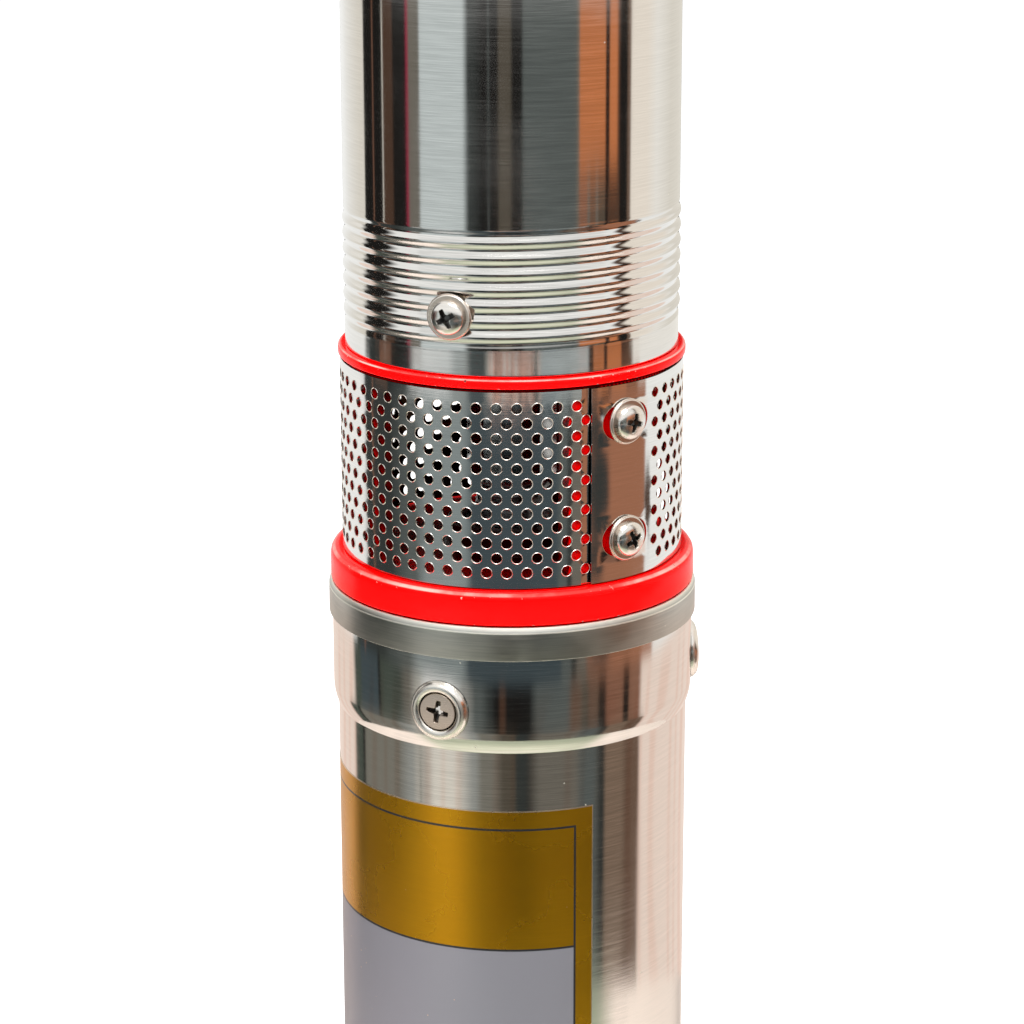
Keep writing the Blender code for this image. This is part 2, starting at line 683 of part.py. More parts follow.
def make_lower_bracket():
    """A dished plate that holds the lower bearing."""
    housing_inner = BEARING_RADIUS + SEAT_GAP
    housing_outer = housing_inner + BEARING_HOUSING_WALL
    rim_top = LOWER_BRACKET_BOTTOM + LOWER_BRACKET_RIM
    shoulder = LOWER_BRACKET_BOTTOM + BEARING_SHOULDER
    opening = BEARING_RADIUS - BEARING_RACE
    profile = [
        (opening, LOWER_BRACKET_BOTTOM),
        (BASE_SPIGOT_RADIUS, LOWER_BRACKET_BOTTOM),
        (BASE_SPIGOT_RADIUS, rim_top),
        (housing_outer, rim_top),
        (housing_outer, LOWER_BRACKET_TOP),
        (housing_inner, LOWER_BRACKET_TOP),
        (housing_inner, shoulder),
        (opening, shoulder),
    ]
    turned("lower_bearing_bracket", profile, "cast_iron", INNER_SEGMENTS)


def make_bearing(prefix, bottom, shaft_axis):
    """A ball bearing: an outer race that stays and an inner race that turns with the shaft."""
    top = bottom + BEARING_HEIGHT
    outer_race = BEARING_RADIUS - BEARING_RACE
    inner_race = BEARING_BORE + BEARING_RACE
    middle = (outer_race + inner_race) / 2
    profile = [
        (BEARING_RADIUS, bottom),
        (BEARING_RADIUS, top),
        (outer_race, top),
        (middle + RUN_GAP, top - BEARING_LIP),
        (middle + RUN_GAP, bottom + BEARING_LIP),
        (outer_race, bottom),
    ]
    turned(f"{prefix}_bearing_outer", profile, "steel", INNER_SEGMENTS)
    profile = [
        (inner_race, bottom),
        (middle - RUN_GAP, bottom + BEARING_LIP),
        (middle - RUN_GAP, top - BEARING_LIP),
        (inner_race, top),
        (BEARING_BORE, top),
        (BEARING_BORE, bottom),
    ]
    turned(f"{prefix}_bearing_inner", profile, "steel", SMALL_SEGMENTS, None, shaft_axis)


def make_stator_core():
    """A laminated stack with slots round its bore, one strip of faces for each tooth and slot."""
    slot_step = 2 * math.pi / CORE_SLOTS
    half_slot = slot_step * CORE_SLOT_SHARE / 2
    slot_radius = CORE_BORE_RADIUS + CORE_SLOT_DEPTH
    inner = []
    outer = []
    for slot in range(CORE_SLOTS):
        centre = slot * slot_step
        corners = (
            (centre - half_slot, CORE_BORE_RADIUS),
            (centre - half_slot, slot_radius),
            (centre + half_slot, slot_radius),
            (centre + half_slot, CORE_BORE_RADIUS),
        )
        spread = slot_step / 4
        for index, (angle, radius) in enumerate(corners):
            inner.append((radius * math.cos(angle), radius * math.sin(angle)))
            rim = centre + (index - 1.5) * spread
            outer.append((CORE_RADIUS * math.cos(rim), CORE_RADIUS * math.sin(rim)))
    bm = bmesh.new()
    loops = []
    for points, height in (
        (inner, CORE_BOTTOM),
        (outer, CORE_BOTTOM),
        (outer, CORE_TOP),
        (inner, CORE_TOP),
    ):
        loops.append([bm.verts.new((x, y, height)) for x, y in points])
    for index, loop in enumerate(loops):
        following = loops[(index + 1) % len(loops)]
        for corner in range(len(loop)):
            after = (corner + 1) % len(loop)
            bm.faces.new((loop[corner], loop[after], following[after], following[corner]))
    make_object("stator_core", bm, "steel")


def make_windings():
    """The copper end turns above and below the core, as rounded rings."""
    outer = CORE_BORE_RADIUS + CORE_SLOT_DEPTH + WINDING_WIDTH / 2
    inner = outer - WINDING_WIDTH
    chamfer = WINDING_CHAMFER
    for name, start, direction in (
        ("winding_lower", CORE_BOTTOM - SEAT_GAP, -1),
        ("winding_upper", CORE_TOP + SEAT_GAP, 1),
    ):
        end = start + direction * WINDING_HEIGHT
        shoulder = end - direction * chamfer
        profile = [
            (outer, start),
            (outer, shoulder),
            (outer - chamfer, end),
            (inner + chamfer, end),
            (inner, shoulder),
            (inner, start),
        ]
        turned(name, profile, "copper", INNER_SEGMENTS)


def make_motor_rotor(shaft_axis):
    """The shaft and the cage rotor that is pressed on it."""
    profile = [
        (0.0, SHAFT_BOTTOM),
        (SHAFT_RADIUS, SHAFT_BOTTOM),
        (SHAFT_RADIUS, SHAFT_TOP),
        (0.0, SHAFT_TOP),
    ]
    turned("motor_shaft", profile, "steel", SMALL_SEGMENTS, None, shaft_axis)
    outer = CORE_BORE_RADIUS - AIR_GAP
    ring = outer - ROTOR_OVERHANG / 2
    bottom = CORE_BOTTOM - ROTOR_OVERHANG
    top = CORE_TOP + ROTOR_OVERHANG
    profile = [
        (ring, bottom),
        (ring, CORE_BOTTOM),
        (outer, CORE_BOTTOM),
        (outer, CORE_TOP),
        (ring, CORE_TOP),
        (ring, top),
        (BEARING_BORE, top),
        (BEARING_BORE, bottom),
    ]
    turned("rotor_core", profile, "steel", SMALL_SEGMENTS, None, shaft_axis)


def drill_for_lock_screw(obj, prefix, height):
    """A hole in a threaded spigot for the screw that locks the barrel on it."""
    inner = BARREL_RADIUS - PAN_LENGTH
    outer = THREAD_CREST_RADIUS + BARREL_WALL
    name = f"{prefix}_lock_drill"
    cut(obj, radial_drill(name, LOCK_SCREW_BEARING, height, PAN_HOLE_RADIUS, inner, outer))


def make_suction_bracket():
    """One casting: flange, deck with the seal's hub, pillars, top ring and the spigot for the barrel."""
    groove = SPIGOT_RADIUS - 2 * O_RING_WIRE
    ring_top = FLANGE_BOTTOM - BRACKET_RING_DROP + O_RING_GROOVE / 2
    ring_bottom = ring_top - O_RING_GROOVE
    spigot_bottom = SOCKET_BOTTOM + SPIGOT_FOOT_GAP
    cavity = SPIGOT_RADIUS - SPIGOT_WALL
    housing_inner = BEARING_RADIUS + SEAT_GAP
    housing_outer = housing_inner + BEARING_HOUSING_WALL
    deck_bottom = FLANGE_BOTTOM - DECK_DEPTH
    shaft_hole = SHAFT_RADIUS + 2 * RUN_GAP
    pocket = SEAL_SEAT_RADIUS + SEAT_GAP
    pocket_bottom = SEAL_SEAT_TOP - SEAL_SEAT_HEIGHT - SEAT_GAP
    profile = [
        (shaft_hole, deck_bottom),
        (housing_inner, deck_bottom),
        (housing_inner, UPPER_BEARING_BOTTOM),
        (housing_outer, UPPER_BEARING_BOTTOM),
        (housing_outer, deck_bottom),
        (cavity, deck_bottom),
        (cavity, spigot_bottom),
        (SPIGOT_RADIUS, spigot_bottom),
        (SPIGOT_RADIUS, ring_bottom),
        (groove, ring_bottom),
        (groove, ring_top),
        (SPIGOT_RADIUS, ring_top),
        (SPIGOT_RADIUS, FLANGE_BOTTOM),
        (FLANGE_RADIUS, FLANGE_BOTTOM),
        *quarter_round(FLANGE_RADIUS, DECK_TOP, FLANGE_ROUND),
        (PILLAR_RADIUS, DECK_TOP),
        (PILLAR_RADIUS, RING_BOTTOM),
        (TOP_RING_RADIUS, RING_BOTTOM),
        *quarter_round(TOP_RING_RADIUS, RING_TOP, TOP_RING_ROUND, 1),
        (NECK_RADIUS, RING_TOP),
        (NECK_RADIUS, THREAD_SPIGOT_TOP),
        (BRACKET_BORE, THREAD_SPIGOT_TOP),
        (BRACKET_BORE, DECK_TOP),
        (HUB_RADIUS, DECK_TOP),
        (HUB_RADIUS, SEAL_POCKET_TOP),
        (pocket, SEAL_POCKET_TOP),
        (pocket, pocket_bottom),
        (shaft_hole, pocket_bottom),
    ]
    bracket = turned("suction_bracket", profile, "red_paint")
    step = 360.0 / PILLAR_COUNT
    window_top = RING_BOTTOM - TOP_WEB
    for index in range(PILLAR_COUNT):
        start = PILLAR_BEARING + PILLAR_ANGLE / 2 + step * index
        span = step - PILLAR_ANGLE
        cut(bracket, window_cutter(f"window_{index + 1}", start, span, window_top))
    upper = FLANGE_BOTTOM - SHELL_SCREW_DROP
    drill_for_shell_screws(bracket, "spigot", upper, SOCKET_RADIUS)
    for index, rise in enumerate(STRAINER_SCREW_HEIGHTS, 1):
        outer = TOP_RING_RADIUS
        inner = outer - PAN_LENGTH
        height = FLANGE_BOTTOM + rise
        drill = radial_drill(
            f"strainer_drill_{index}", PILLAR_BEARING, height, PAN_HOLE_RADIUS, inner, outer
        )
        cut(bracket, drill)
    drill_for_lock_screw(bracket, "bracket", BARREL_LOCK_HEIGHT)
    gland = bearing_vector(CABLE_BEARING) * GLAND_OFFSET
    hole = GLAND_SLEEVE_RADIUS + SEAT_GAP
    depth = FLANGE_HEIGHT + DECK_DEPTH
    profile = [
        (0.0, deck_bottom - depth),
        (hole, deck_bottom - depth),
        (hole, DECK_TOP + depth),
        (0.0, DECK_TOP + depth),
    ]
    drill = turned("gland_drill", profile, None, SMALL_SEGMENTS, Matrix.Translation(gland))
    cut(bracket, drill)
    o_ring("bracket_o_ring", groove, (ring_bottom + ring_top) / 2)


def window_cutter(name, start, span, top):
    """A slice of a thick ring, which opens one window between two pillars."""
    steps = max(2, round(span / WINDOW_STEP_ANGLE))
    inner = (BRACKET_BORE + HUB_RADIUS) / 2
    outer = FLANGE_RADIUS + FLANGE_HEIGHT
    bm = bmesh.new()
    columns = []
    for step in range(steps + 1):
        outward = bearing_vector(start + span * step / steps)
        column = []
        for radius, height in ((inner, DECK_TOP), (outer, DECK_TOP), (outer, top), (inner, top)):
            point = outward * radius
            column.append(bm.verts.new((point.x, point.y, height)))
        columns.append(column)
    for before, after in zip(columns, columns[1:]):
        for index in range(4):
            following = (index + 1) % 4
            bm.faces.new((before[index], after[index], after[following], before[following]))
    bm.faces.new(columns[0])
    bm.faces.new(columns[-1])
    return make_object(name, bm, None)


def strainer_radius(turn):
    """Radius of the sheet's middle: it steps in after the lap, to pass under its own start."""
    lap = BLANK_ANGLE * LAP_START_SHARE
    run = BLANK_ANGLE * LAP_SLOPE_SHARE
    outer = TOP_RING_RADIUS - STRAINER_SHEET / 2
    inner = outer - STRAINER_SHEET - SEAT_GAP
    share = min(1.0, max(0.0, (turn - lap) / run))
    eased = share * share * (3 - 2 * share)
    return outer + (inner - outer) * eased


def make_strainer():
    """A perforated sheet wrapped once round, with blank ends that lap over a pillar.

    Hole centres and solid points alternate over a lattice, and each hole is a square within the diamond of
    its four neighbours. The flat pattern is then wrapped, and given its thickness.
    """
    rows = STRAINER_ROWS
    columns = STRAINER_COLUMNS * 2
    column_angle = (360.0 - BLANK_ANGLE) / columns
    row_height = (STRAINER_HEIGHT - 2 * STRAINER_EDGE) / (rows + 1)
    half_hole_height = STRAINER_HOLE / 2 * STRAINER_HOLE_SHARE
    half_hole_angle = math.degrees(half_hole_height / TOP_RING_RADIUS)
    bm = bmesh.new()
    found = {}

    def point(turn, height):
        key = (round(turn, 6), round(height, 8))
        if key not in found:
            found[key] = bm.verts.new((turn, height, 0.0))
        return found[key]

    def lattice(column, row):
        return point(
            BLANK_ANGLE + column * column_angle, STRAINER_EDGE + row * row_height
        )

    for row in range(1, rows + 1):
        for column in range(1, columns):
            if (row + column) % 2:
                continue
            turn = BLANK_ANGLE + column * column_angle
            height = STRAINER_EDGE + row * row_height
            knots = (
                lattice(column + 1, row),
                lattice(column, row + 1),
                lattice(column - 1, row),
                lattice(column, row - 1),
            )
            corners = [
                point(turn + side * half_hole_angle, height + rise * half_hole_height)
                for side, rise in ((1, 1), (-1, 1), (-1, -1), (1, -1))
            ]
            for index in range(4):
                before = corners[index - 1]
                corner = corners[index]
                bm.faces.new((knots[index], corner, before))
                bm.faces.new((knots[index], knots[(index + 1) % 4], corner))
    add_strainer_borders(bm, lattice, point, rows, columns)
    wrap_sheet(bm)
    strainer = make_object("strainer", bm, "sheet")
    cut_strainer(strainer)


def add_strainer_borders(bm, lattice, point, rows, columns):
    """The blank strips along the sheet's edges and its two ends."""
    top_row = rows + 1
    for row, edge in ((0, 0.0), (top_row, STRAINER_HEIGHT)):
        inside = 1 if row == 0 else rows
        filled = []
        for column in range(columns + 1):
            if (row + column) % 2:
                filled.append(column)
        for column in range(1, columns):
            if (inside + column) % 2:
                bm.faces.new(
                    (
                        lattice(column - 1, row),
                        lattice(column + 1, row),
                        lattice(column, inside),
                    )
                )
        for before, after in zip(filled, filled[1:]):
            first = lattice(before, row)
            second = lattice(after, row)
            bm.faces.new(
                (first, second, point(second.co.x, edge), point(first.co.x, edge))
            )
    for column, direction in ((0, -1), (columns, 1)):
        inward = column - direction
        marks = [(column, row) for row in range(top_row + 1) if (row + column) % 2]
        for before, after in zip(marks, marks[1:]):
            middle = lattice(inward, before[1] + 1)
            bm.faces.new((lattice(*before), lattice(*after), middle))
        corners = []
        for row, edge in ((0, 0.0), (top_row, STRAINER_HEIGHT)):
            corner_column = column if (row + column) % 2 else inward
            corners.append((corner_column, row, edge))
        close_strainer_end(bm, lattice, point, marks, corners, column, direction)


def close_strainer_end(bm, lattice, point, marks, corners, column, direction):
    """One blank end, in strips, from the lattice's last column to the end of the sheet."""
    start = BLANK_ANGLE + column * (360.0 - BLANK_ANGLE) / (STRAINER_COLUMNS * 2)
    levels = [lattice(*mark) for mark in marks]
    chain = []
    low_column, low_row, low_edge = corners[0]
    high_column, high_row, high_edge = corners[1]
    if low_column != column:
        chain.append(lattice(low_column, low_row))
    chain.extend(levels)
    if high_column != column:
        chain.append(lattice(high_column, high_row))
    low = point(lattice(low_column, low_row).co.x, low_edge)
    high = point(lattice(high_column, high_row).co.x, high_edge)
    chain = [low] + chain + [high]
    step = direction * BLANK_ANGLE / BLANK_STEPS
    for index in range(1, BLANK_STEPS + 1):
        turn = start + step * index
        following = [point(turn, old.co.y) for old in chain]
        for lower in range(len(chain) - 1):
            bm.faces.new(
                (chain[lower], chain[lower + 1], following[lower + 1], following[lower])
            )
        chain = following


def wrap_sheet(bm):
    """Wraps a flat pattern of (turn, height) points round the pump and gives it its thickness."""
    flat = list(bm.faces)
    rims = [edge for edge in bm.edges if len(edge.link_faces) == 1]
    twins = {}
    for vertex in list(bm.verts):
        turn, height, _ = vertex.co
        outward = bearing_vector(SEAM_BEARING + turn)
        radius = strainer_radius(turn)
        outer = outward * (radius + STRAINER_SHEET / 2)
        inner = outward * (radius - STRAINER_SHEET / 2)
        twins[vertex] = bm.verts.new((inner.x, inner.y, STRAINER_BOTTOM + height))
        vertex.co = (outer.x, outer.y, STRAINER_BOTTOM + height)
    for face in flat:
        bm.faces.new([twins[vertex] for vertex in reversed(face.verts)])
    for edge in rims:
        first, second = edge.verts
        bm.faces.new((first, second, twins[second], twins[first]))


def cut_strainer(strainer):
    """Slots for the two screws, and the notch for the cable."""
    length = TOP_RING_RADIUS
    for index, rise in enumerate(STRAINER_SCREW_HEIGHTS, 1):
        matrix = radial_matrix(PILLAR_BEARING, length / 2, FLANGE_BOTTOM + rise)
        half = (SLOT_LENGTH - SLOT_WIDTH) / 2
        outline = []
        for side in (1, -1):
            for step in range(5):
                angle = math.radians(-90 + 45 * step) + (0 if side > 0 else math.pi)
                outline.append(
                    (
                        side * half + SLOT_WIDTH / 2 * math.cos(angle),
                        SLOT_WIDTH / 2 * math.sin(angle),
                    )
                )
        cut(strainer, prism(f"slot_{index}", outline, length, matrix))
    half = CABLE_NOTCH_WIDTH / 2
    top = CABLE_NOTCH_HEIGHT
    outline = [(-half, -half), (half, -half), (half, top - half)]
    for step in range(1, 4):
        angle = math.pi * step / 4
        outline.append((half * math.cos(angle), top - half + half * math.sin(angle)))
    outline.append((-half, top - half))
    matrix = radial_matrix(CABLE_BEARING, length / 2, STRAINER_BOTTOM)
    cut(strainer, prism("cable_notch", outline, length, matrix))


def prism(name, outline, length, matrix):
    """A cutter with a flat outline, pushed along its own Z."""
    bm = bmesh.new()
    base = bm.faces.new([bm.verts.new((x, y, 0.0)) for x, y in outline])
    pushed = bmesh.ops.extrude_face_region(bm, geom=[base])
    moved = [item for item in pushed["geom"] if isinstance(item, bmesh.types.BMVert)]
    bmesh.ops.translate(bm, verts=moved, vec=(0.0, 0.0, length))
    return make_object(name, bm, None, matrix)


def make_strainer_screws():
    for name, rise in zip(("lower", "upper"), STRAINER_SCREW_HEIGHTS):
        height = FLANGE_BOTTOM + rise
        top = pan_washer(f"strainer_washer_{name}", PILLAR_BEARING, height, TOP_RING_RADIUS)
        pan_screw(f"strainer_screw_{name}", PILLAR_BEARING, height, top)


def make_cable_gland():
    """The nut and the rubber sleeve of the cable inlet, which stand on the deck."""
    centre = Matrix.Translation(bearing_vector(CABLE_BEARING) * GLAND_OFFSET)
    sleeve_bottom = FLANGE_BOTTOM - DECK_DEPTH
    nut_bottom = DECK_TOP + SEAT_GAP
    nut_top = nut_bottom + GLAND_NUT_HEIGHT
    sleeve_top = nut_top + GLAND_SLEEVE_RISE
    lip = GLAND_SLEEVE_RADIUS - (GLAND_SLEEVE_RADIUS - GLAND_BORE_RADIUS) / 2
    profile = [
        (GLAND_SLEEVE_RADIUS, sleeve_bottom),
        (GLAND_SLEEVE_RADIUS, nut_top),
        (lip, sleeve_top),
        (GLAND_BORE_RADIUS, sleeve_top),
        (GLAND_BORE_RADIUS, sleeve_bottom),
    ]
    turned("gland_sleeve", profile, "rubber", SMALL_SEGMENTS, centre)
    corner = GLAND_NUT_FLATS / math.sqrt(3)
    hole = GLAND_SLEEVE_RADIUS + FIT_GAP
    rings = []
    sides = GLAND_NUT_SIDES
    for radius, height in (
        (corner, nut_bottom),
        (corner, nut_top - GLAND_NUT_CHAMFER),
        (corner * GLAND_NUT_CROWN_SHARE, nut_top),
    ):
        ring = []
        for side in range(sides):
            angle = 2 * math.pi * side / sides
            reach = radius if side % 2 == 0 else radius * math.cos(math.pi / 6)
            ring.append((reach * math.cos(angle), reach * math.sin(angle), height))
        rings.append(ring)
    rings.append(circle_ring(0.0, 0.0, hole, nut_top, sides))
    rings.append(circle_ring(0.0, 0.0, hole, nut_bottom, sides))
    rings.append(rings[0])
    bm = lofted(rings)
    bmesh.ops.remove_doubles(bm, verts=bm.verts, dist=1e-6)
    make_object("gland_nut", bm, "brass", centre)


def thread_radius(phase, share):
    """Radius of the rolled tube: a bead for each turn, fading in and out at the two ends."""
    fade = min(1.0, share / THREAD_FADE_SHARE, (1.0 - share) / THREAD_FADE_SHARE)
    height = (1 + math.cos(2 * math.pi * phase)) / 2
    shape = -THREAD_ROOT + (THREAD_CREST + THREAD_ROOT) * min(1.0, THREAD_FULLNESS * height)
    return BARREL_RADIUS + fade * shape


def make_barrel():
    """The barrel's tube, with a right-hand thread rolled into its lower end.

    Rows of the threaded stretch climb one pitch in each turn, so the row that ends a turn meets the row
    that is one pitch above it.
    """
    rows_per_turn = THREAD_ROWS_PER_TURN
    rows = round(THREAD_TURNS * rows_per_turn)
    start = BARREL_BOTTOM + THREAD_START
    climb = THREAD_PITCH / rows_per_turn
    bm = bmesh.new()

    def ring(radius, height):
        return [bm.verts.new(point) for point in circle_ring(0, 0, radius, height, SEGMENTS)]

    def strip(lower, upper):
        for index in range(SEGMENTS):
            after = (index + 1) % SEGMENTS
            bm.faces.new((lower[index], lower[after], upper[after], upper[index]))

    plain_bottom = ring(BARREL_RADIUS, BARREL_BOTTOM)
    thread_foot = ring(BARREL_RADIUS, start)
    strip(plain_bottom, thread_foot)
    grid = []
    for row in range(rows + 1):
        line = []
        for index in range(SEGMENTS):
            turn = index / SEGMENTS
            phase = row / rows_per_turn
            share = (row + turn * rows_per_turn) / (rows + rows_per_turn)
            radius = thread_radius(phase + 0.5, share)
            angle = 2 * math.pi * turn
            height = start + climb * (row + 0.5) + THREAD_PITCH * turn
            line.append(
                bm.verts.new((radius * math.cos(angle), radius * math.sin(angle), height))
            )
        grid.append(line)
    for lower, upper in zip(grid, grid[1:]):
        for index in range(SEGMENTS - 1):
            bm.faces.new((lower[index], lower[index + 1], upper[index + 1], upper[index]))
    for row in range(rows - rows_per_turn):
        bm.faces.new(
            (
                grid[row][-1],
                grid[row + rows_per_turn][0],
                grid[row + rows_per_turn + 1][0],
                grid[row + 1][-1],
            )
        )
    thread_top = start + climb * (rows + 1) + THREAD_PITCH
    thread_end = ring(BARREL_RADIUS, thread_top)
    for index in range(SEGMENTS - 1):
        bm.faces.new(
            (thread_foot[index], thread_foot[index + 1], grid[0][index + 1], grid[0][index])
        )
        bm.faces.new(
            (grid[-1][index], grid[-1][index + 1], thread_end[index + 1], thread_end[index])
        )
    seam = [grid[row][0] for row in range(rows_per_turn, -1, -1)]
    bm.faces.new([thread_foot[0], thread_foot[-1], grid[0][-1], *seam])
    seam = [grid[row][-1] for row in range(rows - rows_per_turn, rows + 1)]
    bm.faces.new([*seam, thread_end[-1], thread_end[0], grid[-1][0]])
    plain_top = ring(BARREL_RADIUS, BARREL_TOP)
    strip(thread_end, plain_top)
    inner_top = ring(BARREL_BORE, BARREL_TOP)
    inner_bottom = ring(BARREL_BORE, BARREL_BOTTOM)
    strip(plain_top, inner_top)
    strip(inner_top, inner_bottom)
    strip(inner_bottom, plain_bottom)
    bmesh.ops.triangulate(bm, faces=bm.faces)
    barrel = make_object("pump_barrel", bm, "stainless")
    inner = BARREL_BORE - 2 * BARREL_WALL
    outer = THREAD_CREST_RADIUS + BARREL_WALL
    for name, height in (("barrel", BARREL_LOCK_HEIGHT), ("head", HEAD_LOCK_HEIGHT)):
        drill = radial_drill(
            f"{name}_tube_drill", LOCK_SCREW_BEARING, height, PAN_HOLE_RADIUS, inner, outer
        )
        cut(barrel, drill)


def make_lock_screws():
    for name, height, face in (
        ("barrel", BARREL_LOCK_HEIGHT, THREAD_CREST_RADIUS),
        ("head", HEAD_LOCK_HEIGHT, BARREL_RADIUS),
    ):
        top = pan_washer(f"{name}_lock_washer", LOCK_SCREW_BEARING, height, face)
        pan_screw(f"{name}_lock_screw", LOCK_SCREW_BEARING, height, top)


def make_stator():
    """The steel sleeve, the rubber with its two-start helical cavity, and the gasket under them."""
    gasket_bottom = THREAD_SPIGOT_TOP + SEAT_GAP
    gasket_top = gasket_bottom + GASKET_THICKNESS
    profile = rectangle(BRACKET_BORE, NECK_RADIUS, gasket_bottom, gasket_top)
    turned("stator_gasket", profile, "rubber", INNER_SEGMENTS)

    skirt = NECK_RADIUS
    skirt_inner = skirt - SLEEVE_WALL
    skirt_top = SLEEVE_BOTTOM + SLEEVE_SKIRT_HEIGHT
    flange_bottom = SLEEVE_TOP - SLEEVE_FLANGE_HEIGHT
    profile = [
        (skirt, SLEEVE_BOTTOM),
        (skirt, skirt_top),
        (SLEEVE_OUTER, skirt_top + SLEEVE_CONE_HEIGHT),
        (SLEEVE_OUTER, flange_bottom),
        (skirt, flange_bottom),
        (skirt, SLEEVE_TOP),
        (SLEEVE_INNER, SLEEVE_TOP),
        (SLEEVE_INNER, skirt_top + SLEEVE_CONE_HEIGHT - SLEEVE_WALL),
        (skirt_inner, skirt_top - SLEEVE_WALL),
        (skirt_inner, SLEEVE_BOTTOM),
    ]
    turned("stator_sleeve", profile, "steel", INNER_SEGMENTS)
    make_stator_rubber()


def cavity_outline(direction):
    """A flat oval: two half circles round the ends of the rotor's stroke, turned to a direction."""
    radius = ROTOR_RADIUS + CAVITY_GAP
    reach = 2 * ECCENTRICITY
    points = []
    for side in (1, -1):
        for step in range(CAVITY_ARC_STEPS + 1):
            angle = math.pi * (step / CAVITY_ARC_STEPS - 0.5) + (0 if side > 0 else math.pi)
            x = side * reach + radius * math.cos(angle)
            y = radius * math.sin(angle)
            points.append(
                (
                    x * math.cos(direction) - y * math.sin(direction),
                    x * math.sin(direction) + y * math.cos(direction),
                )
            )
    return points


def make_stator_rubber():
    """Rubber lining: its cavity turns half a turn for each pitch of the rotor.

    Each face of the cavity is split along the diagonal that bulges away from the rotor.
    """
    length = RUBBER_TOP - RUBBER_BOTTOM
    steps = max(2, round(length / (2 * ROTOR_PITCH) * CAVITY_STEPS_PER_LEAD))
    count = 2 * (CAVITY_ARC_STEPS + 1)
    rings = []
    for step in range(steps + 1):
        height = RUBBER_BOTTOM + length * step / steps
        direction = math.pi * (height - PIVOT_HIGH) / ROTOR_PITCH
        outline = cavity_outline(direction)
        rings.append([(x, y, height) for x, y in outline])
    bm = bmesh.new()
    loops = [[bm.verts.new(point) for point in ring] for ring in rings]
    for lower, upper in zip(loops, loops[1:]):
        for index in range(count):
            after = (index + 1) % count
            bm.faces.new((lower[index], upper[index], lower[after]))
            bm.faces.new((upper[index], upper[after], lower[after]))
    rim_bottom = rubber_rim(bm, loops[0], RUBBER_BOTTOM)
    rim_top = rubber_rim(bm, loops[-1], RUBBER_TOP)
    for index in range(INNER_SEGMENTS):
        after = (index + 1) % INNER_SEGMENTS
        bm.faces.new((rim_bottom[index], rim_bottom[after], rim_top[after], rim_top[index]))
    make_object("stator_rubber", bm, "rubber")


def rubber_rim(bm, outline, height):
    """The round outer edge at one end, joined to the cavity's outline by a flat ring of triangles."""
    rim = [
        bm.verts.new(point)
        for point in circle_ring(0.0, 0.0, RUBBER_RADIUS, height, INNER_SEGMENTS)
    ]

    def bearing(vertex):
        return math.atan2(vertex.co.y, vertex.co.x) % (2 * math.pi)

    inner = sorted(outline, key=bearing)
    inner_step = 0
    outer_step = 0
    while inner_step < len(inner) or outer_step < len(rim):
        near = inner[inner_step % len(inner)]
        far = rim[outer_step % len(rim)]
        inner_next = inner[(inner_step + 1) % len(inner)]
        outer_next = rim[(outer_step + 1) % len(rim)]
        inner_turn = bearing(inner_next) + 2 * math.pi * ((inner_step + 1) // len(inner))
        outer_turn = 2 * math.pi * (outer_step + 1) / len(rim)
        if outer_step >= len(rim) or (inner_step < len(inner) and inner_turn < outer_turn):
            bm.faces.new((near, far, inner_next))
            inner_step += 1
        else:
            bm.faces.new((near, far, outer_next))
            outer_step += 1
    return rim


def make_screw_rotor(rotor_axis):
    """The single-start rotor: a round section whose centre runs round the rotor's own axis as it climbs."""
    head_bottom = PIVOT_HIGH - ROTOR_HEAD_BELOW_PIVOT
    head_top = head_bottom + ROTOR_HEAD_LENGTH
    bore_top = PIVOT_HIGH + KNOB_LENGTH / 2 + 4 * SEAT_GAP
    neck = head_top + ROTOR_PITCH / ROTOR_STEPS_PER_TURN
    length = RUBBER_TOP - ROTOR_SET_BACK - neck
    steps = round(length / ROTOR_PITCH * ROTOR_STEPS_PER_TURN)
    sides = ROTOR_SIDES
    rings = [
        [(0.0, 0.0, bore_top)],
        circle_ring(0.0, 0.0, SOCKET_BORE, bore_top, sides),
        circle_ring(0.0, 0.0, SOCKET_BORE, head_bottom, sides),
        circle_ring(0.0, 0.0, ROTOR_HEAD_RADIUS, head_bottom, sides),
        circle_ring(0.0, 0.0, ROTOR_HEAD_RADIUS, head_top, sides),
    ]
    for step in range(steps + 1):
        height = neck + length * step / steps
        angle = 2 * math.pi * (height - PIVOT_HIGH) / ROTOR_PITCH
        x = ECCENTRICITY * math.cos(angle)
        y = ECCENTRICITY * math.sin(angle)
        rings.append(circle_ring(x, y, ROTOR_RADIUS, height, sides))
    rings.append([(x, y, height)])
    matrix = Matrix.Translation((ECCENTRICITY, 0.0, 0.0))
    rotor = make_object("screw_rotor", lofted(rings), "chrome", matrix, rotor_axis)
    offset = pin_offset()
    place = Matrix.Translation((ECCENTRICITY + offset, 0.0, PIVOT_HIGH))
    cut(rotor, cross_bar("rotor_pin_drill", JOINT_PIN_HOLE, 2 * ROTOR_HEAD_RADIUS, place))
    reach = ROTOR_HEAD_RADIUS - SEAT_GAP
    joint_pin("upper_joint_pin", reach, offset, place, rotor_axis)


def pin_offset():
    """How far a joint pin's centre lies from the knob's axis, so that it passes beside the neck."""
    return KNOB_NECK_RADIUS + RUN_GAP + JOINT_PIN_RADIUS


def cross_bar(name, radius, half_length, matrix):
    """A round bar along Y, centred on its place."""
    turn = matrix @ Matrix.Rotation(math.radians(90), 4, "X")
    profile = [(0.0, -half_length), (radius, -half_length), (radius, half_length), (0.0, half_length)]
    return turned(name, profile, None, SCREW_SEGMENTS, turn)


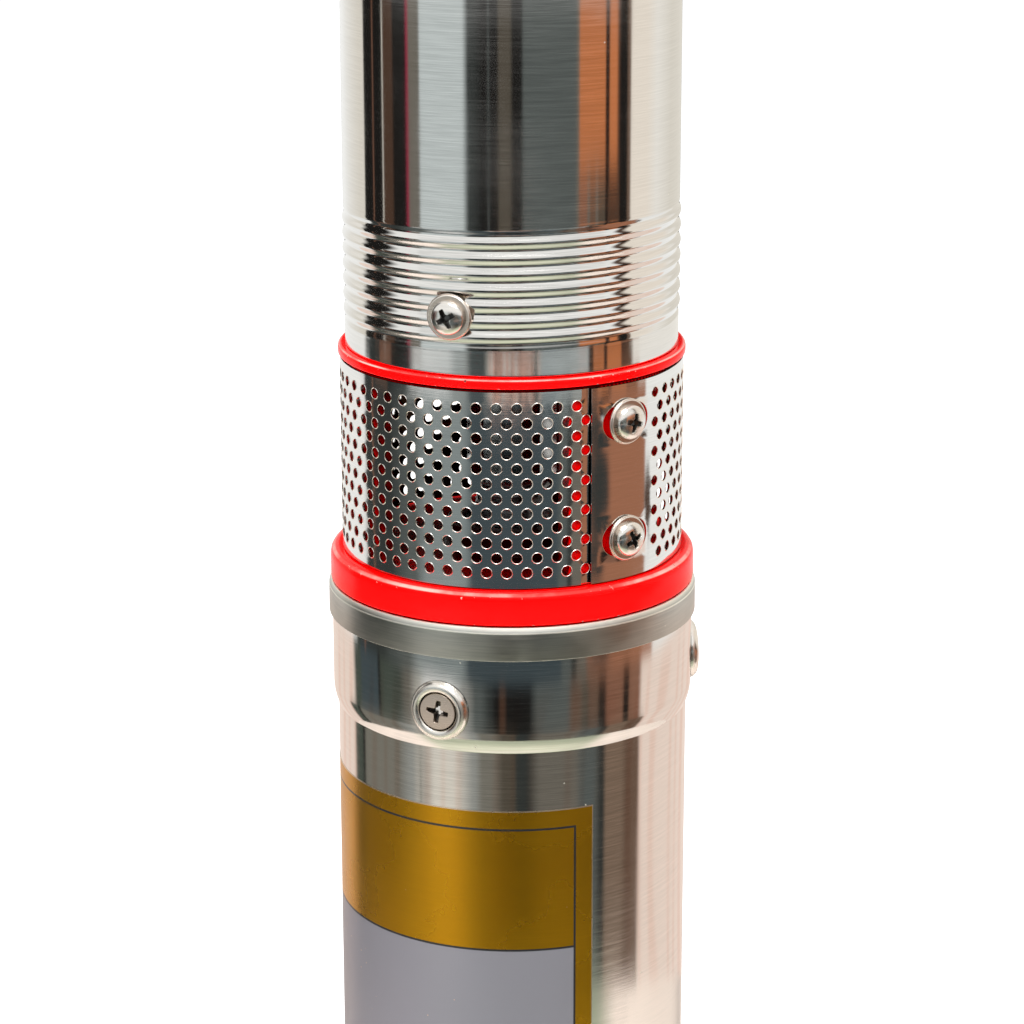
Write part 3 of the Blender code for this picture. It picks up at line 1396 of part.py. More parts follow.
def joint_pin(name, outer_radius, offset, place, parent):
    """A pin that ends flush with the round piece it crosses."""
    half = math.sqrt(max(outer_radius**2 - offset**2, outer_radius**2 / 4)) - FIT_GAP
    pin = cross_bar(name, JOINT_PIN_RADIUS, half, place)
    pin.data.materials.append(MATERIALS["steel"])
    pin.parent = parent
    pin.matrix_parent_inverse = parent.matrix_world.inverted()


def make_cardan_rod(rod_axis):
    """The rod between the shaft and the rotor, with a necked knob at each end."""
    half = KNOB_LENGTH / 2
    neck = KNOB_NECK_LENGTH / 2
    end = half
    profile = []
    for pivot, direction in ((0.0, -1), (ROD_LENGTH, 1)):
        knob = [
            (0.0, pivot + direction * end),
            (KNOB_RADIUS * KNOB_END_SHARE, pivot + direction * end),
            (KNOB_RADIUS, pivot + direction * (neck + KNOB_CROWN_SHARE * (end - neck))),
            (KNOB_RADIUS, pivot + direction * neck),
            (KNOB_NECK_RADIUS, pivot + direction * neck),
            (KNOB_NECK_RADIUS, pivot - direction * neck),
            (KNOB_RADIUS, pivot - direction * neck),
            (ROD_RADIUS, pivot - direction * end),
        ]
        profile.extend(knob if direction < 0 else reversed(knob))
    tilt = math.asin(ECCENTRICITY / ROD_LENGTH)
    matrix = Matrix.Translation((0.0, 0.0, PIVOT_LOW)) @ Matrix.Rotation(tilt, 4, "Y")
    turned("cardan_rod", profile, "stainless", ROD_SEGMENTS, matrix, rod_axis)


def make_coupling(shaft_axis):
    """A sleeve gripping the shaft below, and holding the rod's lower knob above."""
    grip_top = COUPLING_BOTTOM + COUPLING_GRIP
    socket_bottom = grip_top + COUPLING_WEB
    profile = [
        (0.0, grip_top),
        (BEARING_BORE, grip_top),
        (BEARING_BORE, COUPLING_BOTTOM),
        (COUPLING_RADIUS, COUPLING_BOTTOM),
        (COUPLING_RADIUS, COUPLING_TOP),
        (SOCKET_BORE, COUPLING_TOP),
        (SOCKET_BORE, socket_bottom),
        (0.0, socket_bottom),
    ]
    coupling = turned("shaft_coupling", profile, "stainless", SMALL_SEGMENTS, None, shaft_axis)
    offset = pin_offset()
    place = Matrix.Translation((offset, 0.0, PIVOT_LOW))
    cut(coupling, cross_bar("coupling_pin_drill", JOINT_PIN_HOLE, 2 * COUPLING_RADIUS, place))
    joint_pin("lower_joint_pin", COUPLING_RADIUS - SEAT_GAP, offset, place, shaft_axis)


def make_shaft_seal(shaft_axis):
    """The fixed ring in the hub, the turning ring on the shaft, and the spring that presses them."""
    bottom = SEAL_SEAT_TOP - SEAL_SEAT_HEIGHT
    bore = SHAFT_RADIUS + 2 * RUN_GAP
    profile = rectangle(bore, SEAL_SEAT_RADIUS, bottom, SEAL_SEAT_TOP)
    turned("seal_seat", profile, "ceramic", SMALL_SEGMENTS)
    profile = rectangle(BEARING_BORE, SEAL_FACE_RADIUS, SEAL_FACE_BOTTOM, SEAL_FACE_TOP)
    turned("seal_face", profile, "steel", SMALL_SEGMENTS, None, shaft_axis)
    helix_tube(
        "seal_spring",
        SEAL_SPRING_RADIUS,
        SEAL_SPRING_WIRE,
        SEAL_FACE_TOP + SEAT_GAP,
        COUPLING_BOTTOM - SEAT_GAP,
        SEAL_SPRING_TURNS,
        "steel",
        shaft_axis,
    )


def make_discharge_head():
    """The head casting: spigot, ring, shoulder with two rope eyes, and the threaded port."""
    port_bottom = HEAD_NECK_BOTTOM
    profile = [
        (HEAD_BORE_RADIUS, HEAD_SPIGOT_BOTTOM),
        (NECK_RADIUS, HEAD_SPIGOT_BOTTOM),
        (NECK_RADIUS, HEAD_RING_BOTTOM),
        (TOP_RING_RADIUS, HEAD_RING_BOTTOM),
        *quarter_round(TOP_RING_RADIUS, HEAD_RING_TOP, TOP_RING_ROUND),
        (HEAD_SHOULDER_RADIUS, HEAD_RING_TOP),
        (HEAD_NECK_RADIUS, HEAD_NECK_BOTTOM),
        (HEAD_NECK_RADIUS, HEAD_TOP),
        (PORT_RADIUS + PORT_CHAMFER, HEAD_TOP),
        (PORT_RADIUS, HEAD_TOP - PORT_CHAMFER),
        (PORT_RADIUS, port_bottom),
        (HEAD_BORE_RADIUS, GUIDE_TOP + SEAT_GAP),
    ]
    head = turned("discharge_head", profile, "red_paint")
    drill_for_lock_screw(head, "head", HEAD_LOCK_HEIGHT)
    height = HEAD_NECK_BOTTOM + LUG_RISE - HEAD_CONE_HEIGHT / 2
    for side, label in ((1, "right"), (-1, "left")):
        add_lug(head, side, label, height)
    profile = rectangle(HEAD_BORE_RADIUS, NECK_RADIUS, 0.0, GASKET_THICKNESS)
    place = Matrix.Translation((0.0, 0.0, SLEEVE_TOP + SEAT_GAP))
    turned("outlet_gasket", profile, "rubber", INNER_SEGMENTS, place)


def add_lug(head, side, label, height):
    """One rope eye: an upright plate on the shoulder with a round top and a round hole."""
    half = LUG_THICKNESS / 2
    foot = HEAD_RING_TOP - height - SEAT_GAP * 2
    inward = -LUG_REACH - LUG_BITE
    outline = [(inward, foot), (LUG_RADIUS, foot)]
    for step in range(LUG_ARC_STEPS + 1):
        angle = math.pi / 2 * step / LUG_ARC_STEPS
        outline.append((LUG_RADIUS * math.cos(angle), LUG_RADIUS * math.sin(angle)))
    outline.append((inward, LUG_RADIUS))
    stand = Matrix(((side, 0, 0), (0, 0, -1), (0, 1, 0))).to_4x4()
    stand.translation = (side * LUG_OFFSET, half, height)
    lug = prism(f"lug_{label}", outline, LUG_THICKNESS, stand)
    lug.hide_render = True
    lug.display_type = "WIRE"
    join = head.modifiers.new(f"lug_{label}", "BOOLEAN")
    join.operation = "UNION"
    join.solver = "EXACT"
    join.object = lug
    place = Matrix.Translation((side * LUG_OFFSET, 0.0, height))
    hole = cross_bar(f"eye_{label}", LUG_HOLE_RADIUS, LUG_THICKNESS, place)
    cut(head, hole)


def make_valve(valve_axis):
    """The non-return valve: seat, poppet, spring and the spider that guides the stem."""
    seat_edge = VALVE_SEAT_BORE + POPPET_OVERLAP / 2
    profile = [
        (VALVE_SEAT_RADIUS, VALVE_SEAT_BOTTOM),
        (VALVE_SEAT_RADIUS, VALVE_SEAT_TOP),
        (seat_edge, VALVE_SEAT_TOP),
        (VALVE_SEAT_BORE, VALVE_SEAT_TOP - POPPET_OVERLAP / 2),
        (VALVE_SEAT_BORE, VALVE_SEAT_BOTTOM),
    ]
    turned("valve_seat", profile, "brass", INNER_SEGMENTS)
    stem_top = GUIDE_TOP + GUIDE_THICKNESS
    edge = VALVE_SEAT_BORE + POPPET_OVERLAP
    profile = [
        (0.0, POPPET_BOTTOM),
        (edge, POPPET_BOTTOM),
        (edge, POPPET_BOTTOM + POPPET_THICKNESS / 2),
        (POPPET_STEM_RADIUS * 2, POPPET_TOP),
        (POPPET_STEM_RADIUS, POPPET_TOP),
        (POPPET_STEM_RADIUS, stem_top),
        (0.0, stem_top),
    ]
    turned("valve_poppet", profile, "brass", SMALL_SEGMENTS, None, valve_axis)
    helix_tube(
        "valve_spring",
        VALVE_SPRING_RADIUS,
        VALVE_SPRING_WIRE,
        POPPET_TOP + SEAT_GAP,
        GUIDE_BOTTOM - SEAT_GAP,
        VALVE_SPRING_TURNS,
        "stainless",
    )
    make_valve_guide()


def make_valve_guide():
    """A spider: outer ring, hub and four arms, as one pierced plate."""
    sides = INNER_SEGMENTS
    hub_bore = POPPET_STEM_RADIUS + RUN_GAP
    outer = VALVE_SEAT_RADIUS
    ring_inner = outer - GUIDE_RING_WIDTH
    profile = rectangle(hub_bore, outer, GUIDE_BOTTOM, GUIDE_TOP)
    guide = turned("valve_guide", profile, "brass", sides)
    for arm in range(GUIDE_ARMS):
        half_gap = GUIDE_ARM_WIDTH / 2
        start = math.asin(half_gap / GUIDE_HUB_RADIUS)
        end = math.asin(half_gap / ring_inner)
        share = 2 * math.pi / GUIDE_ARMS
        outline = []
        for step in range(3):
            angle = start + (share - 2 * start) * step / 2
            outline.append((GUIDE_HUB_RADIUS * math.cos(angle), GUIDE_HUB_RADIUS * math.sin(angle)))
        for step in range(5):
            angle = share - end - (share - 2 * end) * step / 4
            outline.append((ring_inner * math.cos(angle), ring_inner * math.sin(angle)))
        place = Matrix.Translation((0.0, 0.0, GUIDE_BOTTOM - GUIDE_THICKNESS))
        place = place @ Matrix.Rotation(share * (arm + 0.5), 4, "Z")
        cut(guide, prism(f"guide_opening_{arm + 1}", outline, 3 * GUIDE_THICKNESS, place))


def main():
    clear_scene()
    MATERIALS.update(make_materials())
    shaft_axis = make_axis("shaft_axis", (0.0, 0.0, FLANGE_BOTTOM))
    rod_axis = make_axis("rod_axis", (0.0, 0.0, PIVOT_LOW))
    rotor_axis = make_axis("rotor_axis", (ECCENTRICITY, 0.0, PIVOT_HIGH), rod_axis)
    valve_axis = make_axis("valve_axis", (0.0, 0.0, POPPET_BOTTOM))
    bpy.context.view_layer.update()
    make_motor_shell()
    make_shell_screws()
    make_base()
    make_lower_bracket()
    make_bearing("lower", LOWER_BEARING_BOTTOM, shaft_axis)
    make_bearing("upper", UPPER_BEARING_BOTTOM, shaft_axis)
    make_stator_core()
    make_windings()
    make_motor_rotor(shaft_axis)
    make_suction_bracket()
    make_strainer()
    make_strainer_screws()
    make_cable_gland()
    make_shaft_seal(shaft_axis)
    make_coupling(shaft_axis)
    make_cardan_rod(rod_axis)
    make_screw_rotor(rotor_axis)
    make_barrel()
    make_lock_screws()
    make_stator()
    make_discharge_head()
    make_valve(valve_axis)


main()
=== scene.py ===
"""Looks of a borehole submersible screw pump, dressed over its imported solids.

The solids carry the mechanics. This script loads them, stands finer surfaces in the place of those that
show, gives every other solid its finish, and sets up a plain pale studio. Sizes in the classes are in
millimetres. Z is up along the pump's axis, and a bearing counts degrees round it from -Y, which faces the
camera, towards +X.
"""

import json
import logging
import math
from dataclasses import dataclass, replace
from enum import Enum

import bpy
import numpy as np
from mathutils import Matrix, Vector

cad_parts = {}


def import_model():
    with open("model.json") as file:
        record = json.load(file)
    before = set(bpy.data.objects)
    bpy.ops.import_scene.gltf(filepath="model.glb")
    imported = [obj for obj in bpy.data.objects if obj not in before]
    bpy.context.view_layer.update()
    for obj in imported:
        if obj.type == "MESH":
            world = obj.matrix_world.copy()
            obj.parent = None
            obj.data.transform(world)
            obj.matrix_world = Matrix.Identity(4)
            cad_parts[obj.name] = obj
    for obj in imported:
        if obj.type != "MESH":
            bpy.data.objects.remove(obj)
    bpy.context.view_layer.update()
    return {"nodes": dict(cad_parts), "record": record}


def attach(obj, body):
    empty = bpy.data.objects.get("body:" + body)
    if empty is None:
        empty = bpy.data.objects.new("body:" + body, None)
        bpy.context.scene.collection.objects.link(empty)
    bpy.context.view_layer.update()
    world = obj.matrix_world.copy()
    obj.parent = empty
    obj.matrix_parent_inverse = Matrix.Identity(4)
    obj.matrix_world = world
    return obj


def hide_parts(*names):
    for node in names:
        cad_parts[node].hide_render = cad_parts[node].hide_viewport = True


LOG = logging.getLogger("pump")
MM = 0.001
WELD = 0.001
SAME_POINT = 1e-6
TINY = 1e-9
FILLET_STEPS = 4
Rgb = tuple[float, float, float]
Grid = np.ndarray
Profile = tuple[Grid, Grid]


# Surfaces


@dataclass(frozen=True)
class Surface:
    """Points in millimetres, the polygons that join them, and values that materials read at each point."""

    points: Grid
    faces: tuple[Grid, ...]
    edge: Grid | None = None
    uv: Grid | None = None

    def worn_and_shaded(self) -> Grid:
        """Wear and painted light at each point: 1 on bare corners, which materials paint as worn and highlit,
        0 on open faces and -1 for painted shade.
        """
        return np.zeros(len(self.points)) if self.edge is None else self.edge

    def placed(self, matrix: Grid) -> "Surface":
        """The surface carried by a 4 by 4 matrix in millimetres."""
        return replace(self, points=self.points @ matrix[:3, :3].T + matrix[:3, 3])

    def reversed(self) -> "Surface":
        """The surface with every face turned over."""
        return replace(self, faces=tuple(f[:, ::-1] for f in self.faces))


def joined(*parts: Surface) -> Surface:
    """Puts surfaces into one, each polygon's numbers raised by the points before its own.

    Args:
        parts: The surfaces in order.

    Returns:
        One surface that holds them all.
    """
    starts = np.cumsum([0] + [len(part.points) for part in parts])
    faces = tuple(f + start for part, start in zip(parts, starts) for f in part.faces)
    points = np.vstack([part.points for part in parts])
    edge = np.concatenate([part.worn_and_shaded() for part in parts])
    has_uv = any(part.uv is not None for part in parts)
    blank = [np.zeros((len(p.points), 2)) if p.uv is None else p.uv for p in parts]
    return Surface(points, faces, edge, np.vstack(blank) if has_uv else None)


def grid_faces(columns: int, rows: int, around_axis: bool) -> Grid:
    """Quads of a grid whose point number is column * rows + row.

    Args:
        columns: Points along the first direction.
        rows: Points along the second.
        around_axis: Whether the last column joins the first.

    Returns:
        An array of four point numbers for each quad.
    """
    column = np.arange(columns if around_axis else columns - 1)[:, None]
    row = np.arange(rows - 1)[None, :]
    after = (column + 1) % columns
    corners = (column * rows + row, after * rows + row, after * rows + row + 1, column * rows + row + 1)
    return np.stack(corners, axis=-1).reshape(-1, 4)


def welded(surface: Surface) -> Surface:
    """Joins points that coincide, and drops the corners and polygons that this collapses.

    Args:
        surface: A surface whose patches meet on equal points.

    Returns:
        The same shape as one skin, closed at seams and poles.
    """
    keys = np.round(surface.points / WELD).astype(np.int64)
    _, first, inverse = np.unique(keys, axis=0, return_index=True, return_inverse=True)
    inverse = inverse.reshape(-1)
    kept: list[Grid] = []
    for faces in surface.faces:
        mapped = inverse[faces]
        same = mapped == np.roll(mapped, -1, axis=1)
        count = same.sum(axis=1)
        kept.append(mapped[count == 0])
        if faces.shape[1] == 4:
            pinched, keep = mapped[count == 1], ~same[count == 1]
            kept.append(pinched[keep].reshape(-1, 3))
    edge = None if surface.edge is None else surface.edge[first]
    uv = None if surface.uv is None else surface.uv[first]
    return Surface(surface.points[first], tuple(f for f in kept if len(f)), edge, uv)


def smooth_step(value: Grid, low: Grid | float, high: Grid | float) -> Grid:
    """The curve 3t^2 - 2t^3 of a value's place between low and high."""
    t = np.clip((value - low) / (high - low), 0, 1)
    return t * t * (3 - 2 * t)


def full_turn(count: int) -> Grid:
    """Equal steps all the way round, in radians, without the last."""
    return np.arange(count) * (2 * math.pi / count)


def around(radius: Grid | float, bearing: Grid, height: Grid | float) -> Grid:
    """Points round the Z axis: x = r sin(bearing), y = -r cos(bearing), z = height, bearings in radians."""
    return np.stack(np.broadcast_arrays(radius * np.sin(bearing), -radius * np.cos(bearing), height), axis=-1)


def filleted(corners: list[tuple[float, ...]], closed: bool = True) -> Profile:
    """A profile whose corners are rounded, each by the curve (1-t)^2 A + 2t(1-t) C + t^2 B.

    C is the corner. A and B lie on its two sides, the rounding's size away or at most half of the side.

    Args:
        corners: (radius, height, rounding) of each corner, going up on the outer side.
        closed: Whether the last corner joins the first.

    Returns:
        The profile's (radius, height) points, and how exposed each is to wear, which also places painted edge
        highlights.
    """
    data = np.array([(c + (0.0,))[:3] for c in corners], float)
    spot, size = data[:, :2], data[:, 2]
    before, after = np.roll(spot, 1, axis=0) - spot, np.roll(spot, -1, axis=0) - spot
    if not closed:
        size[[0, -1]] = 0.0
    reach = [np.linalg.norm(side, axis=1) for side in (before, after)]
    size = np.minimum(size, np.minimum(*reach) / 2)
    start = spot + before / np.maximum(reach[0], TINY)[:, None] * size[:, None]
    end = spot + after / np.maximum(reach[1], TINY)[:, None] * size[:, None]
    t = np.linspace(0, 1, FILLET_STEPS + 1)[None, :, None]
    curve = (1 - t) ** 2 * start[:, None] + 2 * t * (1 - t) * spot[:, None] + t**2 * end[:, None]
    turn = before[:, 0] * after[:, 1] - before[:, 1] * after[:, 0]
    convex = ((turn < 0) & (size > 0)).astype(float)
    exposed = np.sin(np.pi * t[0, :, 0])[None, :] ** 0.5 * convex[:, None]
    points, worn = curve.reshape(-1, 2), exposed.reshape(-1)
    apart = np.linalg.norm(points - np.roll(points, 1, axis=0), axis=1) > SAME_POINT
    apart[0] |= not closed
    return points[apart], worn[apart]


def looped(profile: Profile) -> Profile:
    """A profile whose first point comes again at its end."""
    points, worn = profile
    return np.vstack([points, points[:1]]), np.append(worn, worn[:1])


def turned(profile: Profile, segments: int, closed: bool = True) -> Surface:
    """A profile carried all the way round the Z axis.

    Args:
        profile: (radius, height) points and their wear, from filleted().
        segments: Spans round the axis.
        closed: Whether the profile is a loop, and not a line from pole to pole.

    Returns:
        The turned skin, its faces outwards where the profile goes up on the outer side.
    """
    points, worn = looped(profile) if closed else profile
    spots = around(points[None, :, 0], full_turn(segments)[:, None], points[None, :, 1]).reshape(-1, 3)
    return welded(Surface(spots, (grid_faces(segments, len(points), True),), np.tile(worn, segments)))


def turned_open(line: Grid, segments: int) -> Surface:
    """A line of (radius, height) points carried round the axis, from the lower pole to the upper one."""
    return turned((line, np.zeros(len(line))), segments, closed=False)


def swept(profile: Profile, start: float, end: float, steps: int) -> Surface:
    """A closed profile carried part of the way round the axis, and capped at both ends.

    Args:
        profile: (radius, height) points and their wear, from filleted().
        start: First bearing in degrees.
        end: Last bearing.
        steps: Spans between them.

    Returns:
        A closed block.
    """
    points, worn = looped(profile)
    bearing = np.radians(np.linspace(start, end, steps + 1))[:, None]
    spots = around(points[None, :, 0], bearing, points[None, :, 1]).reshape(-1, 3)
    rows = len(points)
    cap = np.arange(rows - 1)
    faces = (grid_faces(steps + 1, rows, False), np.stack([cap[::-1], cap + steps * rows]))
    return welded(Surface(spots, faces, np.tile(worn, steps + 1)))


def radial_place(bearing: float, radius: float, height: float, turn: float = 0.0) -> Grid:
    """The frame of a screw or washer: its +Z points outwards at a bearing, its +Y up before it is turned.

    Args:
        bearing: Degrees round the pump.
        radius: Distance of its origin from the axis.
        height: Height of its origin.
        turn: Degrees by which it is turned about its own +Z.

    Returns:
        A 4 by 4 matrix.
    """
    a, t = math.radians(bearing), math.radians(turn)
    outward = np.array([math.sin(a), -math.cos(a), 0.0])
    side, up = np.array([math.cos(a), math.sin(a), 0.0]), np.array([0.0, 0.0, 1.0])
    matrix = np.eye(4)
    matrix[:3, 0] = side * math.cos(t) + up * math.sin(t)
    matrix[:3, 1] = up * math.cos(t) - side * math.sin(t)
    matrix[:3, 2] = outward
    matrix[:3, 3] = outward * radius + up * height
    return matrix


def make_mesh(name: str, surface: Surface) -> bpy.types.Mesh:
    """Puts a surface's points and polygons into a mesh with foreach_set.

    Args:
        name: The mesh's name.
        surface: Its points and polygons in millimetres.

    Returns:
        The mesh, with its UV map where the surface has one.
    """
    mesh = bpy.data.meshes.new(name)
    mesh.vertices.add(len(surface.points))
    mesh.vertices.foreach_set("co", (surface.points * MM).astype(np.float32).ravel())
    loops = np.concatenate([f.ravel() for f in surface.faces]).astype(np.int32)
    sizes = np.concatenate([np.full(len(f), f.shape[1]) for f in surface.faces])
    mesh.loops.add(len(loops))
    mesh.loops.foreach_set("vertex_index", loops)
    mesh.polygons.add(len(sizes))
    mesh.polygons.foreach_set("loop_start", np.concatenate([[0], np.cumsum(sizes)[:-1]]).astype(np.int32))
    mesh.update(calc_edges=True)
    if mesh.validate():
        LOG.warning("%s had invalid faces", name)
    if surface.uv is not None:
        layer = mesh.uv_layers.new(name="UVMap")
        layer.data.foreach_set("uv", surface.uv[loops].astype(np.float32).ravel())
    return mesh


def paint_points(mesh: bpy.types.Mesh, name: str, values: Grid) -> None:
    """Gives each point of a mesh a number that materials read."""
    mesh.attributes.new(name, "FLOAT", "POINT").data.foreach_set("value", values.astype(np.float32).ravel())


def shown(name: str, data: bpy.types.ID) -> bpy.types.Object:
    """Makes an object of some data and links it to the scene."""
    thing = bpy.data.objects.new(name, data)
    bpy.context.scene.collection.objects.link(thing)
    return thing


def make_piece(
    name: str,
    surface: Surface,
    material: bpy.types.Material,
    replaces: tuple[str, ...] = (),
    sharp: float = 40.0,
) -> None:
    """Makes a visible piece of the pump's still body, at the origin and unscaled.

    Args:
        name: The piece's name.
        surface: Its points and polygons in millimetres.
        material: Its finish.
        replaces: CAD nodes that it stands for.
        sharp: Angle in degrees from which an edge is shaded sharp.
    """
    mesh = make_mesh(name, surface)
    # Point values of wear and painted light: worn and highlit corners above 0, painted shade below 0.
    paint_points(mesh, "wear_and_painted_light", surface.worn_and_shaded())
    mesh.shade_smooth()
    mesh.set_sharp_from_angle(angle=math.radians(sharp))
    mesh.materials.append(material)
    piece = shown(name, mesh)
    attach(piece, "pump")
    if replaces:
        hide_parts(*replaces)
    LOG.info("%s: %d points, %d faces", name, len(mesh.vertices), len(mesh.polygons))


# Finishes


class Nodes:
    """A node tree with short calls to add nodes, set their sockets and link them."""

    def __init__(self, tree: bpy.types.NodeTree) -> None:
        """Keeps the tree that the nodes go into."""
        self.tree = tree

    def add(self, kind: str, **values: object) -> bpy.types.Node:
        """Adds a node, and sets its properties and inputs.

        Args:
            kind: The node's type without "ShaderNode".
            values: Properties by their names, and then inputs by theirs, with _ for a space.

        Returns:
            The new node.
        """
        node = self.tree.nodes.new(f"ShaderNode{kind}")
        for key, value in values.items():
            if hasattr(node, key):
                setattr(node, key, value)
            else:
                self.put(node, key.replace("_", " "), value)
        return node

    def put(self, node: bpy.types.Node, key: int | str, value: object) -> None:
        """Sets or links one input.

        Args:
            node: The node.
            key: The input's name or place.
            value: A number, a colour or an output socket.
        """
        socket = node.inputs[key]
        if isinstance(value, bpy.types.NodeSocket):
            self.tree.links.new(value, socket)
        else:
            socket.default_value = (*value, 1.0) if socket.type == "RGBA" else value

    def fill(self, node: bpy.types.Node, **values: object) -> None:
        """Sets or links several inputs by their names, with _ for a space."""
        for key, value in values.items():
            self.put(node, key.replace("_", " "), value)

    def math(self, operation: str, *values: object, clamp: bool = False) -> bpy.types.NodeSocket:
        """One step of arithmetic.

        Args:
            operation: Blender's name for it.
            values: Numbers or sockets.
            clamp: Whether the result is kept between 0 and 1.

        Returns:
            The result's socket.
        """
        node = self.add("Math", operation=operation, use_clamp=clamp)
        for index, value in enumerate(values):
            self.put(node, index, value)
        return node.outputs[0]

    def times(self, first: object, second: object, clamp: bool = False) -> bpy.types.NodeSocket:
        """The product of two numbers or sockets."""
        return self.math("MULTIPLY", first, second, clamp=clamp)

    def plus(self, mask: object, share: float, base: object) -> bpy.types.NodeSocket:
        """A base value raised by a share of a mask, kept between 0 and 1."""
        return self.math("MULTIPLY_ADD", mask, share, base, clamp=True)

    def far(self, value: object, middle: float) -> bpy.types.NodeSocket:
        """How far a value is from a middle, either way."""
        return self.math("ABSOLUTE", self.math("SUBTRACT", value, middle))

    def mix(self, factor: object, first: object, second: object) -> bpy.types.NodeSocket:
        """A blend of two colours by a factor.

        Args:
            factor: 0 for the first, 1 for the second.
            first: A colour or socket.
            second: Another.

        Returns:
            The blend's socket.
        """
        factor_input, first_input, second_input, colour_output = 0, 6, 7, 2
        node = self.add("Mix", data_type="RGBA")
        for index, value in ((factor_input, factor), (first_input, first), (second_input, second)):
            self.put(node, index, value)
        return node.outputs[colour_output]

    def ramp(self, value: object, low: float, high: float) -> bpy.types.NodeSocket:
        """A smooth step of a value from 0 at low to 1 at high."""
        span = {"From Min": low, "From Max": high}
        node = self.add("MapRange", interpolation_type="SMOOTHSTEP", Value=value, **span)
        return node.outputs[0]

    def place(self) -> bpy.types.NodeSocket:
        """Object coordinates, in metres."""
        return self.add("TexCoord").outputs["Object"]

    def noise(self, scale: object, detail: float, **values: object) -> bpy.types.NodeSocket:
        """Noise on object coordinates.

        Args:
            scale: Its scale.
            detail: Its detail.
            values: Other inputs of the node, of which Vector takes the place of the object coordinates.

        Returns:
            The noise's socket.
        """
        inputs = {"Vector": values.pop("Vector", None) or self.place(), "Scale": scale, "Detail": detail}
        return self.add("TexNoise", **inputs, **values).outputs[0]

    def read(self, name: str, output: str = "Fac") -> bpy.types.NodeSocket:
        """A value that the mesh gives at each point."""
        return self.add("Attribute", attribute_name=name).outputs[output]

    def axis(self, vector: bpy.types.NodeSocket, name: str) -> bpy.types.NodeSocket:
        """One part of a vector."""
        return self.add("SeparateXYZ", Vector=vector).outputs[name]


class Effect(Enum):
    """Effects that several finishes share, each a node group built once."""

    GRAIN = "Grain"
    CLOUDS = "Clouds"
    CHIPS = "Chips"
    DUST = "Dust"


GRAIN_LAYERS = ((0.7, (90.0, 90.0, 3800.0)), (0.3, (30.0, 30.0, 1500.0)))
GRAIN_RANGE = (0.3, 0.7)
CLOUD_RANGE = (0.38, 0.68)
CHIP_RANGE = (0.805, 0.83)
CHIP_PATCH_SCALE = 0.08
CHIP_LIFT = 0.34
DUST_SIZE = 0.13


def effect_group(effect: Effect) -> bpy.types.NodeTree:
    """The shared node group of an effect, built when it is first asked for.

    Grain is noise on object coordinates, stretched so that it runs level round the pump. Clouds is broad
    soft noise for smudges. Chips is fine noise cut by a threshold that falls with the wear at a corner. Dust
    is sparse small spots, and its amount is the share of cells that hold one.

    Args:
        effect: Which effect.

    Returns:
        A group with named inputs and the one output Mask.
    """
    found = bpy.data.node_groups.get(effect.value)
    if found:
        return found
    tree = bpy.data.node_groups.new(effect.value, "ShaderNodeTree")
    tree.interface.new_socket("Mask", in_out="OUTPUT", socket_type="NodeSocketFloat")
    for name in ("Scale", "Amount"):
        tree.interface.new_socket(name, in_out="INPUT", socket_type="NodeSocketFloat").default_value = 1.0
    nodes = Nodes(tree)
    given, out = tree.nodes.new("NodeGroupInput"), tree.nodes.new("NodeGroupOutput")
    scale, amount = given.outputs["Scale"], given.outputs["Amount"]
    if effect is Effect.GRAIN:
        layers = []
        for share, stretch in GRAIN_LAYERS:
            drawn = nodes.add("Mapping", Vector=nodes.place(), Scale=stretch).outputs[0]
            layers.append(nodes.times(nodes.noise(scale, 2.0, Roughness=0.6, Vector=drawn), share))
        mask = nodes.ramp(nodes.math("ADD", *layers), *GRAIN_RANGE)
    elif effect is Effect.CLOUDS:
        mask = nodes.ramp(nodes.noise(scale, 4.0, Roughness=0.55), *CLOUD_RANGE)
    elif effect is Effect.CHIPS:
        patchy = nodes.noise(nodes.times(scale, CHIP_PATCH_SCALE), 2.0)
        lift = nodes.times(nodes.times(nodes.read("wear_and_painted_light"), patchy), CHIP_LIFT)
        mask = nodes.ramp(nodes.math("ADD", nodes.noise(scale, 5.0, Roughness=0.6), lift), *CHIP_RANGE)
    else:
        spots = nodes.add("TexVoronoi", Vector=nodes.place(), Scale=scale)
        small = nodes.math("LESS_THAN", spots.outputs["Distance"], DUST_SIZE)
        pick = nodes.add("SeparateColor", Color=spots.outputs["Color"]).outputs[0]
        mask = nodes.times(small, nodes.math("LESS_THAN", pick, amount))
        amount = 1.0
    tree.links.new(nodes.times(mask, amount, clamp=True), out.inputs["Mask"])
    return tree


def effect_mask(
    nodes: Nodes, effect: Effect, scale: float = 1.0, amount: float = 1.0
) -> bpy.types.NodeSocket:
    """Places a shared effect in a material.

    Args:
        nodes: The material's nodes.
        effect: Which effect.
        scale: Its scale on object coordinates in metres.
        amount: Its strength.

    Returns:
        Its mask.
    """
    node = nodes.add("Group", node_tree=effect_group(effect), Scale=scale, Amount=amount)
    return node.outputs["Mask"]


def blank_material(name: str) -> tuple[bpy.types.Material, Nodes, bpy.types.Node]:
    """A new material, its nodes and its Principled shader."""
    material = bpy.data.materials.new(name)
    material.use_nodes = True
    return material, Nodes(material.node_tree), material.node_tree.nodes["Principled BSDF"]


def bumped(nodes: Nodes, shader: bpy.types.Node, height: object, distance: float, strength: float) -> None:
    """Feeds a height into the shader's normal.

    Args:
        nodes: The material's nodes.
        shader: The Principled shader.
        height: A mask.
        distance: The height of 1 in metres.
        strength: The bump's strength.
    """
    bump = nodes.add("Bump", Height=height, Distance=distance, Strength=strength)
    nodes.put(shader, "Normal", bump.outputs["Normal"])


